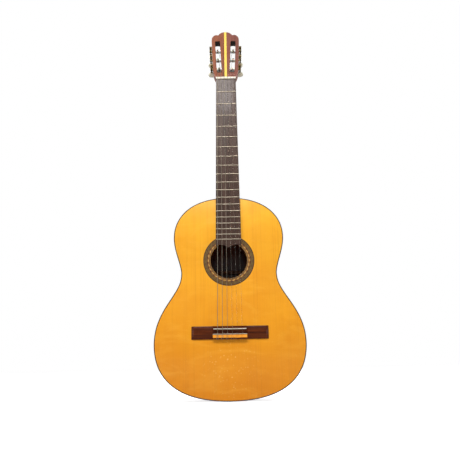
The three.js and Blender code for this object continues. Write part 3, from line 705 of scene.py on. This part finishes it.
def rib(name, side):
    """One bent side, from the heel round to the tail strip."""
    tail_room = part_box("end_graft")[1].x
    keep = [s for s in rim_sections(TOP_FACE + BINDING_HIGH, under_binding)
            if side * s[0].x > (tail_room if s[0].z < CENTRE.z else HEEL_ROOM)]
    keep.sort(key=lambda s: math.atan2(side * s[0].x, s[0].z - CENTRE.z))
    return loft(name, keep)


def star_plate(name, loop, front, back, rings=14, middle=1.0e-3):
    """A plate inside an outline, with even rings of faces round a tiny hole in its middle."""
    inner = []
    for p in loop:
        angle = math.atan2(p.x, p.z - CENTRE.z)
        inner.append(CENTRE + Vector((math.sin(angle), 0, math.cos(angle))) * middle)
    grid = [[i.lerp(o, k / rings) for i, o in zip(inner, loop)] for k in range(rings + 1)]
    rows = [at_depth(row, front) for row in grid] + [at_depth(row, back) for row in reversed(grid)]
    return loft(name, list(zip(*rows)), ring=True)


def circle(radius):
    """A fine circle round the middle of the sound hole."""
    return [(radius * math.sin(a), HOLE_Z + radius * math.cos(a)) for a in around(128)]


def facing(front, thick):
    """Stands a flat plate up to face the front, with its face at a depth."""
    return Matrix.Translation((0, front + thick / 2, 0)) @ Matrix.Rotation(math.radians(90), 4, "X")


def make_body():
    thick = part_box("soundboard")[1].y - TOP_FACE
    outline = [(p.x, p.z) for p in inset_loop(RIM, RIB_THICK)]
    board = plate("top_plate", [outline, circle(HOLE_RADIUS)], thick, facing(TOP_FACE, thick),
                  edge=0.25e-3)
    settle(board, TOP_WOOD, ["soundboard"])
    for name, node, front, back in (
            ("front_binding", "top_binding", TOP_FACE, TOP_FACE + BINDING_HIGH),
            ("rear_binding", "back_binding", under_binding, back_depth)):
        settle(loft(name, rim_sections(front, back), ring=True), BINDING_WOOD,
               [node], bevel=0.7e-3, segments=3)
    settle(rib("rib_side_bass", -1), RIM_WOOD, ["rib_bass"], bevel=0.15e-3)
    settle(rib("rib_side_treble", 1), RIM_WOOD, ["rib_treble"], bevel=0.15e-3)
    back = star_plate("back_plate", inset_loop(RIM, RIB_THICK),
                      lambda x, z: back_depth(x, z) - BACK_THICK,
                      lambda x, z: back_depth(x, z) - INLAY_PROUD)
    settle(back, BACK_WOOD, ["back"])
    settle(refined("end_graft"), BINDING_WOOD, ["end_graft"], bevel=0.3e-3)
    settle(refined("heel_cap"), BINDING_WOOD, ["heel_cap"], bevel=0.5e-3)


def make_back_strip():
    """The inlaid line down the middle of the back, where its two halves meet."""
    half, rows, sunk = 3.0e-3, 60, -0.4e-3
    low, high = BODY_LOW.z + 3e-3, BODY_HIGH.z - 3e-3
    for name, reach, material, rise in (
            ("back_strip_edge", half, TILE_GOLD, -0.5 * INLAY_PROUD),
            ("back_strip", half * 0.62, BINDING_WOOD, -0.1 * INLAY_PROUD)):
        heights = [low + (high - low) * k / rows for k in range(rows + 1)]
        corners = [(-reach, sunk), (reach, sunk), (reach, rise), (-reach, rise)]
        sections = [[Vector((x, back_depth(0, z) + dy, z)) for x, dy in corners] for z in heights]
        settle(loft(name, sections), material)


# ---- rosette ----


class GeometryTree(Tree):
    """A geometry node tree with named number inputs."""

    def __init__(self, name, inputs):
        group = bpy.data.node_groups.new(name, "GeometryNodeTree")
        group.interface.new_socket(name="Geometry", in_out="OUTPUT",
                                   socket_type="NodeSocketGeometry")
        self.ids = {}
        for key, value in inputs.items():
            kind = "NodeSocketInt" if isinstance(value, int) else "NodeSocketFloat"
            made = group.interface.new_socket(name=key, in_out="INPUT", socket_type=kind)
            self.ids[key] = made.identifier
        super().__init__(group)
        self.given = group.nodes.new("NodeGroupInput").outputs
        self.end = group.nodes.new("NodeGroupOutput")
        self.values = inputs

    def vector(self, x=0.0, y=0.0, z=0.0):
        return self.add("ShaderNodeCombineXYZ", {"X": x, "Y": y, "Z": z}).outputs[0]

    def close(self, instances, material):
        """Realizes the instances, sets their material and ends the tree."""
        real = self.add("GeometryNodeRealizeInstances", {"Geometry": instances})
        done = self.add("GeometryNodeSetMaterial",
                        {"Geometry": real.outputs[0], "Material": material})
        self.tree.links.new(done.outputs[0], self.end.inputs[0])

    def run(self, name):
        """Runs the tree on an empty mesh and returns the plain mesh that it makes."""
        piece = link(name, bpy.data.meshes.new(name))
        modifier = piece.modifiers.new("build", "NODES")
        modifier.node_group = self.tree
        for key, value in self.values.items():
            modifier[self.ids[key]] = value
        bake(piece)
        return outwards(piece)


def tile_ring(name, radius, count, wide, long, slant, turn, material):
    """Small inlaid tiles round the sound hole, each turned by a slant."""
    tree = GeometryTree(name, {"Radius": radius, "Count": count, "Width": wide, "Length": long,
                               "Slant": slant, "Thickness": 0.3e-3, "Height": HOLE_Z})
    given = tree.given
    ring = tree.add("GeometryNodeMeshCircle",
                    {"Vertices": given["Count"], "Radius": given["Radius"]})
    size = tree.vector(given["Width"], given["Length"], given["Thickness"])
    tile = tree.add("GeometryNodeMeshCube", {"Size": size})
    index = tree.add("GeometryNodeInputIndex").outputs[0]
    share = tree.math("DIVIDE", index, given["Count"])
    angle = tree.plus(tree.times(share, 2 * math.pi), given["Slant"])
    placed = tree.add("GeometryNodeInstanceOnPoints",
                      {"Points": ring.outputs[0], "Instance": tile.outputs[0],
                       "Rotation": tree.vector(z=angle)})
    stood = tree.add("GeometryNodeTransform",
                     {"Geometry": placed.outputs[0], "Translation": tree.vector(z=given["Height"]),
                      "Rotation": (math.radians(90), math.radians(turn), 0)})
    tree.close(stood.outputs[0], material)
    settle(tree.run(name), material)


def make_rosette():
    """A dark ground, four bands on it with dark lines between them, and three rings of tiles."""
    thick, ground, bands = 0.4e-3, 0.04e-3, 0.07e-3
    for name, inner, outer, material, proud in (
            ("rosette_ground", HOLE_RADIUS + 0.3e-3, ROSETTE_RADIUS, RING_DARK, ground),
            ("rosette_edge", 45.7e-3, 47.3e-3, RING_EDGE, bands),
            ("rosette_gold", 47.5e-3, 51.9e-3, RING_OCHRE, bands),
            ("rosette_middle", 52.1e-3, 54.9e-3, RING_BROWN, bands),
            ("rosette_outer", 55.1e-3, 60.8e-3, RING_OLIVE, bands)):
        band = plate(name, [circle(outer), circle(inner)], thick, facing(TOP_FACE - proud, thick))
        settle(band, material, ["rosette"] if proud == ground else ())
    tile_ring("rosette_tiles_gold", 50.3e-3, 28, 1.5e-3, 6.2e-3, 0.16, 0.0, TILE_GOLD)
    tile_ring("rosette_tiles_red", 53.3e-3, 28, 1.7e-3, 6.4e-3, -0.16, 6.4, TILE_RED)
    tile_ring("rosette_tiles_brown", 58.0e-3, 32, 1.4e-3, 6.0e-3, 0.14, 3.0, TILE_BROWN)


# ---- neck, head and fingerboard ----

NECK_STEPS = 40
SHAFT_DEEP = 15.5e-3, 17.5e-3                   # at the head, and at the body
HEEL_HALF, HEEL_LONG = (29.5e-3, 14e-3), (70e-3, 18e-3)      # under the board, and at the cap
HEEL_FROM = 8e-3


def between(low, high, part):
    return low + (high - low) * part


def half_round(half, deep, place, steps=20):
    """A rounded D as a section; place turns (across, deep) into a point."""
    section = []
    for i in range(steps + 1):
        angle = math.pi * i / steps
        across = math.copysign(abs(math.cos(angle)) ** 0.8, math.cos(angle))
        section.append(place(across * half, max(math.sin(angle), 0.0) ** 0.85 * deep))
    return section


def make_neck():
    """The neck in one piece: smooth shaft and heel, run together with the head and foot."""
    base, end = BODY_HIGH.z + 0.5e-3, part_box("heel_cap")[0].y
    shaft, heel = [], []
    for k in range(NECK_STEPS + 1):
        part = k / NECK_STEPS
        z, y = between(HEAD_ROOT_Z, base, part), between(HEEL_FROM, end, part)
        shaft.append(half_round(board_half(z), between(*SHAFT_DEEP, part),
                                lambda x, deep: Vector((x, deep, z))))
        swoop = 1 - (1 - part) ** 2.6
        heel.append(half_round(between(*HEEL_HALF, part), between(*HEEL_LONG, swoop),
                               lambda x, deep: Vector((x, y, base + deep))))
    parts = [refined("neck", flat=0.1), loft("shaft", shaft), loft("heel", heel)]
    bpy.context.view_layer.objects.active = parts[0]
    with bpy.context.temp_override(active_object=parts[0], selected_editable_objects=parts):
        bpy.ops.object.join()
    neck = parts[0]
    neck.name = "neck_and_head"
    remesh = neck.modifiers.new("one_skin", "REMESH")
    remesh.mode, remesh.voxel_size = "VOXEL", 1.1e-3
    soft = neck.modifiers.new("soft", "SMOOTH")
    soft.factor, soft.iterations = 0.5, 4
    bake(neck)
    settle(neck, NECK_WOOD, ["neck"], sharp=60)
    paint_slot_shade(neck)


def paint_slot_shade(neck):
    """The walls of the head's two slots get a dark colour as painted shade."""
    untilt = Matrix.Rotation(HEAD_TILT, 4, "X") @ Matrix.Translation((0, 0, -HEAD_ROOT_Z))
    neck.data.materials.append(SLOT_PAINTED_SHADE)
    for face in neck.data.polygons:
        spot = untilt @ face.center
        across = abs(spot.x) - (SIDE_MID_X + (spot.z - SIDE_MID_S) * math.tan(SIDE_LEAN))
        inside = abs(across - SLOT_CENTRE) < SLOT_HALF + 0.4e-3
        if inside and RAMP_FROM < spot.z < SLOT_TO and 0.2e-3 < spot.y < HEAD_THICK - 0.6e-3:
            face.material_index = 1


def make_head_faces():
    for node, veneer in (("head_veneer_bass", VENEER_BASS), ("head_veneer_treble", VENEER_TREBLE)):
        settle(refined(node), veneer, [node], bevel=0.35e-3)
    settle(refined("head_stripe"), STRIPE_WOOD, ["head_stripe"], bevel=0.12e-3)


def quadratic(start, control, end, steps=14):
    out = []
    for k in range(steps):
        t = k / steps
        out.append(tuple((1 - t) ** 2 * s + 2 * t * (1 - t) * c + t * t * e
                         for s, c, e in zip(start, control, end)))
    return out


def make_fingerboard():
    end_z, scallop = BOARD_END + 4.5e-3, BOARD_END + 13e-3
    half = board_half(end_z)
    tip = 2e-3
    outline = [(-NUT_HALF, 0), (NUT_HALF, 0)]
    outline += quadratic((half, end_z), (half / 2, scallop), (tip, BOARD_END))
    outline += quadratic((-tip, BOARD_END), (-half / 2, scallop), (-half, end_z)) + [(-half, end_z)]
    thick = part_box("fingerboard")[1].y - BOARD_FRONT
    board = plate("rosewood_board", [outline], thick, facing(BOARD_FRONT, thick), edge=0.5e-3)
    settle(board, BOARD_WOOD, ["fingerboard"])


def make_frets():
    """Fret wires at the equal-tempered places, each as long as the board is wide there."""
    tree = GeometryTree("fret_wires", {
        "Frets": FRET_COUNT, "Scale Length": SCALE_LENGTH, "Nut Half": NUT_HALF,
        "Taper": BOARD_TAPER, "Crown High": 1.0e-3, "Crown Half": 1.1e-3,
        "Board Front": BOARD_FRONT, "End Room": 0.4e-3})
    given = tree.given
    line = tree.add("GeometryNodeMeshLine", {"Count": given["Frets"]}, mode="OFFSET")
    number = tree.plus(tree.add("GeometryNodeInputIndex").outputs[0], 1.0)
    share = tree.math("POWER", 2.0, tree.math("DIVIDE", number, -12.0))
    reach = tree.times(tree.math("SUBTRACT", 1.0, share), given["Scale Length"])
    place = tree.vector(0.0, given["Board Front"], tree.times(reach, -1.0))
    spots = tree.add("GeometryNodeSetPosition", {"Geometry": line.outputs[0], "Position": place})
    wide = tree.plus(given["Nut Half"], tree.times(reach, given["Taper"]))
    half = tree.math("SUBTRACT", wide, given["End Room"])
    bar = tree.add("GeometryNodeMeshCylinder", {"Vertices": 20, "Radius": 1.0, "Depth": 2.0})
    lying = tree.add("GeometryNodeTransform", {"Geometry": bar.outputs[0],
                                               "Rotation": (0, math.radians(90), 0)})
    size = tree.vector(half, given["Crown High"], given["Crown Half"])
    wires = tree.add("GeometryNodeInstanceOnPoints",
                     {"Points": spots.outputs[0], "Instance": lying.outputs[0], "Scale": size})
    tree.close(wires.outputs[0], FRET_METAL)
    settle(tree.run("fret_wires"), FRET_METAL, bevel=0.25e-3)


# ---- bridge ----


WING_HIGH = 4.35e-3
END_SLOPE = 6.5e-3


def make_bridge():
    """The tie block, cut from the CAD bridge, and an arched wing on each side of it."""
    low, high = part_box("bridge")
    block_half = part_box("tie_strip")[1].x
    far = 1.0
    outside = [box_solid("off", Matrix(), [side * block_half, side * far], [-far, far], [-far, far])
               for side in (-1, 1)]
    block = cut_from(refined("bridge"), *outside)
    settle(block, BRIDGE_WOOD, ["bridge"], bevel=0.6e-3, segments=3)
    for side, name in ((-1, "bridge_wing_bass"), (1, "bridge_wing_treble")):
        wing = loft(name, wing_sections(side, block_half, high.x, low.z, high.z, high.y))
        settle(wing, BRIDGE_WOOD, bevel=0.35e-3, sharp=40)
    settle(refined("saddle"), BONE, ["saddle"], bevel=0.2e-3)
    settle(refined("nut"), BONE, ["nut"], bevel=0.15e-3)
    make_tie_strip()


def wing_sections(side, inner, outer, bottom, top, seat):
    """An arched bridge wing that slopes down to its end."""
    sections = []
    for x, share in ((inner - 0.5e-3, 1.0), (outer - END_SLOPE, 1.0),
                     (outer - END_SLOPE + 0.8e-3, 0.95), (outer, 0.42)):
        arch = [Vector((side * x, seat, top))]
        for k in range(15):
            t = k / 14
            rise = WING_HIGH * (0.5 + 0.5 * math.sin(math.pi * t) ** 0.7)
            arch.append(Vector((side * x, -rise * share, top + (bottom - top) * t)))
        arch.append(Vector((side * x, seat, bottom)))
        sections.append(arch)
    return sections


def make_tie_strip():
    """The orange strip on the tie block, with a bone line along the block's upper edge."""
    low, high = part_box("tie_strip")
    for name, z0, z1, material, slot in (
            ("tie_strip_orange", low.z + 1.8e-3, high.z - 2.0e-3, STRIP_WOOD, "top_wood"),
            ("tie_strip_line", high.z - 0.9e-3, high.z + 0.3e-3, BONE, "bone")):
        corners = [(low.y, z0), (low.y, z1), (high.y + 0.25e-3, z1), (high.y + 0.25e-3, z0)]
        strip = loft(name, [[Vector((x, y, z)) for y, z in corners] for x in (low.x, high.x)])
        settle(strip, material, ["tie_strip"] if slot == "top_wood" else (), bevel=0.25e-3)


# ---- strings ----

NUT_SLOT_Y = -9.0e-3
TIE_HOLE_Y, TIE_HOLE_LONG = -5.2e-3, 9e-3


def placing(number):
    """Which side of the head a machine is on, and its row from the nut up."""
    return (1, number - 1) if number <= 3 else (-1, 6 - number)


def machine_frame(number):
    """A machine's own axes: X along the roller, Y along the worm, Z from roller to worm."""
    roller = JOINTS[f"roller_{number}_turn"]
    knob = JOINTS[f"knob_{number}_turn"]
    x, y = Vector(roller["axis"]), Vector(knob["axis"])
    turn = Matrix((x, y, x.cross(y))).transposed().to_4x4()
    return Matrix.Translation(Vector(roller["pos_m"])) @ turn


def string_line(number):
    """Where a string meets its roller, along the roller's axis, in the machine's frame."""
    side, row = placing(number)
    return side * ROLLER_LINES[row] - machine_frame(number).translation.x


def bent(before, corner, after, bend=1.2e-3):
    """A corner of a string's path, with a point a little way off on each side of it."""
    return [corner + (before - corner).normalized() * bend, corner,
            corner + (after - corner).normalized() * bend]


def make_string(number):
    """A string from its hole in the tie block over the saddle and the nut to its roller."""
    radius = STRING_RADII[number - 1]
    across = 3.5 - number
    low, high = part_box("saddle")
    saddle_x = across * SADDLE_SPACING
    place = machine_frame(number)
    meets = place @ Vector((string_line(number), -ROLLER_RADIUS - radius, 0))
    nut_top = Vector((across * NUT_SPACING, NUT_SLOT_Y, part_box("nut")[1].z - 0.5e-3))
    saddle_top = Vector((saddle_x, low.y - radius, (low.z + high.z) / 2))
    hole = Vector((saddle_x, TIE_HOLE_Y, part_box("tie_strip")[1].z - 1e-3))
    path = [hole - Vector((0, 0, TIE_HOLE_LONG)), hole, *bent(hole, saddle_top, nut_top),
            *bent(saddle_top, nut_top, meets), meets]
    finish, slot = (WOUND, "wound_string") if number >= 4 else (NYLON, "plain_string")
    settle(tube(f"string_run_{number}", path, radius), finish, [f"string_{number}"], sharp=60)
    settle(make_tie(number, saddle_x, radius), finish, sharp=60)
    settle(make_winding(number, radius, place), finish, body=f"string_roller_{number}",
           sharp=60)


def make_tie(number, x, radius):
    """The string's loop back over the tie block, tucked round its own run."""
    low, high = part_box("tie_strip")
    top = low.y - radius - 0.15e-3
    step = 1.1e-3
    spots = [(0, TIE_HOLE_Y, low.z - 1.4e-3), (0, -5.6e-3, low.z - 2.6e-3),
             (0.3, -8.2e-3, low.z - 2.9e-3),
             (0.8, top, low.z - 1.0e-3), (1.0, top, low.z + 2e-3), (1.0, top, high.z - 2e-3),
             (1.0, top + 0.4e-3, high.z + 1.2e-3), (0.2, top + 2.6e-3, high.z + 2.8e-3),
             (-0.9, top + 0.9e-3, high.z + 1.6e-3), (-1.1, top - 0.1e-3, high.z - 1.5e-3),
             (-1.3, top, (low.z + high.z) / 2), (-2.2, top, low.z + 0.5e-3),
             (-3.2, top + 0.1e-3, low.z - 1.6e-3)]
    path = smooth([Vector((x + a * step, y, z)) for a, y, z in spots], 6)
    return tube(f"string_tie_{number}", path, radius, sides=10)


def make_winding(number, radius, place):
    """The turns of string on a roller, which turn with it."""
    side, _ = placing(number)
    turns, steps, pitch = 4.6, 26, 2.1 * radius
    start = string_line(number)
    reach = ROLLER_RADIUS + radius
    inward = side if start * side < SLOT_CENTRE else -side
    path = []
    for k in range(int(turns * steps) + 1):
        angle = 2 * math.pi * k / steps
        along = start + inward * pitch * k / steps
        path.append(place @ Vector((along, -reach * math.cos(angle), reach * math.sin(angle))))
    return tube(f"string_turns_{number}", path, radius, sides=10)


# ---- tuning machines ----

WHEEL_TEETH = 14
WHEEL_TIP, WHEEL_ROOT = 7.4e-3, 5.3e-3
WHEEL_FROM, WHEEL_TO = 2.9e-3, 6.3e-3           # along the roller, outwards
WORM_LEAD = 2.985e-3
WORM_CORE, WORM_JOURNAL = 2.1e-3, 1.3e-3
BUTTON_FROM, BUTTON_LONG = 17.5e-3, 17e-3
BUTTON_HALF, BUTTON_FLATNESS = 9.1e-3, 4.5 / 9.1
BUTTON_TURNS = [80, 55, 12]                     # how far each button is turned at rest, in degrees
PLATE_SCREWS = [-44e-3, -25.5e-3, 25.5e-3, 46e-3]


def turned(name, profile, place, sides):
    """A part of (along, radius) points, turned about the roller's axis."""
    return lathe(name, profile, place @ Matrix.Rotation(math.radians(-90), 4, "Z"), sides)


def outwards_from(side, pairs):
    return [(side * along, radius) for along, radius in pairs]


def box_solid(name, place, xs, ys, zs):
    corners = [(ys[0], zs[0]), (ys[1], zs[0]), (ys[1], zs[1]), (ys[0], zs[1])]
    return loft(name, [[place @ Vector((x, y, z)) for y, z in corners] for x in sorted(xs)])


def slotted_head(name, profile, place, side, deep, long, wide, sides):
    """A screw's head with a slot cut across it; long and wide are the slot's halves."""
    slot = box_solid("slot", place, [side * d for d in deep], [-long, long], [-wide, wide])
    return cut_from(turned(name, outwards_from(side, profile), place, sides), slot)


def make_wheel(number, place, side):
    low = WHEEL_ROOT + 0.2e-3
    tooth = ((-0.36, WHEEL_ROOT), (-0.27, low), (-0.13, WHEEL_TIP), (0, WHEEL_TIP + 0.05e-3),
             (0.13, WHEEL_TIP), (0.27, low), (0.36, WHEEL_ROOT))
    outline = []
    for count in range(WHEEL_TEETH):
        for part, radius in tooth:
            angle = (count + 0.5 + part) * 2 * math.pi / WHEEL_TEETH
            outline.append((radius * math.sin(angle), radius * math.cos(angle)))
    sections = [[place @ Vector((side * x, y, z)) for y, z in outline]
                for x in (WHEEL_FROM, WHEEL_TO)]
    settle(loft(f"gear_wheel_{number}", sections), BRASS,
           body=f"string_roller_{number}", bevel=0.18e-3, sharp=40)


def make_roller(number, place, side):
    """The white sleeve, the steel post through it and the screw that holds the wheel."""
    body, edge, post = f"string_roller_{number}", 0.5e-3, 2.4e-3
    sleeve = [(-30e-3, ROLLER_RADIUS - edge), (-29.6e-3, ROLLER_RADIUS),
              (-0.8e-3, ROLLER_RADIUS), (-0.3e-3, ROLLER_RADIUS - edge)]
    settle(turned(f"roller_sleeve_{number}", outwards_from(side, sleeve), place, 40), WHITE,
           [f"roller_{number}"], body, sharp=50)
    shaft = [(-0.4e-3, post), (WHEEL_TO - 0.3e-3, post)]
    settle(turned(f"roller_post_{number}", outwards_from(side, shaft), place, 24), STEEL,
           body=body)
    head = [(WHEEL_TO - 0.2e-3, 2.9e-3), (WHEEL_TO + 0.7e-3, 2.9e-3), (WHEEL_TO + 1.1e-3, 2.4e-3),
            (WHEEL_TO + 1.2e-3, 1.2e-3)]
    settle(slotted_head(f"wheel_screw_{number}", head, place, side,
                        (WHEEL_TO + 0.7e-3, WHEEL_TO + 2e-3), 4e-3, 0.35e-3, 28), STEEL,
           body=body)


def make_worm(number, place, side):
    """The worm: a turned shaft with a real thread round it."""
    shift = place.inverted() @ Vector(JOINTS[f"knob_{number}_turn"]["pos_m"])
    here = place @ Matrix.Translation((shift.x, 0, shift.z))
    core, journal = WORM_CORE, WORM_JOURNAL
    profile = [(-8.4e-3, 0.8e-3), (-8.2e-3, journal), (-6.2e-3, journal), (-6.1e-3, core),
               (6.1e-3, core), (6.2e-3, journal), (10.2e-3, journal), (10.6e-3, 1.9e-3),
               (11.6e-3, 2.0e-3), (12.2e-3, 1.5e-3), (BUTTON_FROM - 1.4e-3, 1.5e-3),
               (BUTTON_FROM - 1.0e-3, 2.5e-3), (BUTTON_FROM - 0.1e-3, 2.9e-3)]
    shaft = lathe(f"worm_shaft_{number}", profile, here, 28)
    settle(shaft, BRASS, [f"worm_{number}"], f"knob_{number}", sharp=40)
    turns, steps = 3.2, 20
    path = []
    for k in range(int(turns * steps) + 1):
        t = k / (turns * steps) - 0.5
        angle = 2 * math.pi * turns * t
        path.append(here @ Vector((side * core * math.sin(angle), WORM_LEAD * turns * t,
                                   -core * math.cos(angle))))
    thread = tube(f"worm_thread_{number}", path, 0.5e-3, sides=8)
    settle(thread, BRASS, body=f"knob_{number}", sharp=60)
    return here


def make_button(number, here, turn):
    shape = [(0, 0.36), (0.03, 0.42), (0.10, 0.46), (0.2, 0.60), (0.32, 0.80), (0.46, 0.94),
             (0.6, 1.0), (0.74, 0.985), (0.86, 0.90), (0.94, 0.74), (0.985, 0.5), (1.0, 0.22)]
    profile = [(BUTTON_FROM + a * BUTTON_LONG, r * BUTTON_HALF) for a, r in shape]
    button = lathe(f"pearl_button_{number}", profile, here @ Matrix.Rotation(turn, 4, "Y"), 36,
                   BUTTON_FLATNESS)
    settle(button, PEARL, [f"button_{number}"], f"knob_{number}", sharp=60)


def make_machines():
    for number in range(1, 7):
        side, row = placing(number)
        place = machine_frame(number)
        make_wheel(number, place, side)
        make_roller(number, place, side)
        here = make_worm(number, place, side)
        make_button(number, here, side * math.radians(BUTTON_TURNS[row]))
    for node, middle in (("machine_plate_bass", 5), ("machine_plate_treble", 2)):
        settle(refined(node), BRASS, [node], bevel=0.2e-3)
        make_plate_screws(node, machine_frame(middle), placing(middle)[0])


def make_plate_screws(node, place, side):
    """Slotted screws that hold a machine plate to the head's side."""
    head = [(1.5e-3, 2.1e-3), (1.9e-3, 2.1e-3), (2.3e-3, 1.5e-3), (2.4e-3, 0.6e-3)]
    for k, z in enumerate(PLATE_SCREWS):
        here = place @ Matrix.Translation((0, 0, z))
        screw = slotted_head(f"{node}_screw_{k + 1}", head, here, side, (2e-3, 3e-3), 3e-3,
                             0.25e-3, 24)
        settle(screw, STEEL)


# ---- inside ----


def make_inside():
    """Bare wood on the braces, linings and tail block, which stay as they are."""
    inner = {s["node"] for s in frame["record"]["subparts"] if s["material_slot"] == "inner_wood"}
    for node in sorted(inner) + ["tail_block"]:
        data = frame["nodes"][node].data
        cedar = node == "tail_block" or "back_brace" in node
        data.materials.clear()
        data.materials.append(BLOCK_WOOD if cedar else INNER_WOOD)


# ---- studio ----

FLOOR_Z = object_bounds()[0].z - 1.0e-3


def make_studio():
    """A plain pale floor, wide enough to fill every view that looks down."""
    reach = 3.4
    mesh = bpy.data.meshes.new("studio_floor")
    corners = [(-reach, -reach), (reach, -reach), (reach, reach), (-reach, reach)]
    mesh.from_pydata([(x, y, FLOOR_Z) for x, y in corners], [], [(0, 1, 2, 3)])
    floor = link("studio_floor", mesh)
    material, tree, shader, vector = start_material("pale_floor", Roughness=0.9)
    cloud = tree.noise(vector, 1.5, 2.0)
    pale = tree.mix(tree.spread(cloud, 0.3, 0.7), rgb(252, 252, 252), rgb(247, 247, 247))
    seen = tree.add("ShaderNodeLightPath").outputs["Is Camera Ray"]
    color = tree.mix(seen, rgb(170, 170, 170), pale)
    glow = tree.mix(seen, rgb(90, 90, 90), rgb(255, 255, 255))
    tree.put(shader.inputs["Emission Color"], glow)
    shader.inputs["Emission Strength"].default_value = 0.8
    finish_material(tree, shader, color)
    mesh.materials.append(material)


def area_light(name, place, aim, wide, high, power):
    data = bpy.data.lights.new(name, "AREA")
    data.shape, data.size, data.size_y, data.energy = "RECTANGLE", wide, high, power
    light = bpy.data.objects.new(name, data)
    light.location = place
    light.rotation_euler = (Vector(aim) - Vector(place)).to_track_quat("-Z", "Y").to_euler()
    bpy.context.scene.collection.objects.link(light)


def light_studio():
    """White all round, dimmer for what it lights than for what is seen of it, and soft lamps."""
    world = bpy.data.worlds.new("studio_air")
    world.use_nodes = True
    tree = Tree(world.node_tree)
    background = world.node_tree.nodes["Background"]
    seen = tree.add("ShaderNodeLightPath").outputs["Is Camera Ray"]
    tree.put(background.inputs["Strength"], tree.spread(seen, 0, 1, 0.13, 1.0))
    background.inputs["Color"].default_value = (1, 1, 1, 1)
    bpy.context.scene.world = world
    bpy.context.scene.view_settings.view_transform = "Standard"
    middle = (0, 0, -0.4)
    area_light("key_above", (-0.25, -1.7, 1.35), (0, 0, -0.3), 1.2, 0.6, 60)
    for side, name, power in ((-1, "left", 15), (1, "right", 16)):
        area_light(name + "_lamp", (2.0 * side, -1.3, -0.5), middle, 0.9, 1.4, power)
        area_light(f"rear_{name}_lamp", (1.5 * side, 1.8, 0.9), middle, 2.2, 2.2, 28)
    area_light("floor_lamp", (0, 0.4, 3.2), (0, 0.4, 0), 3.0, 3.0, 20)


make_body()
make_back_strip()
make_rosette()
make_neck()
make_head_faces()
make_fingerboard()
make_frets()
make_bridge()
for string_number in range(1, 7):
    make_string(string_number)
make_machines()
make_inside()
make_studio()
light_studio()
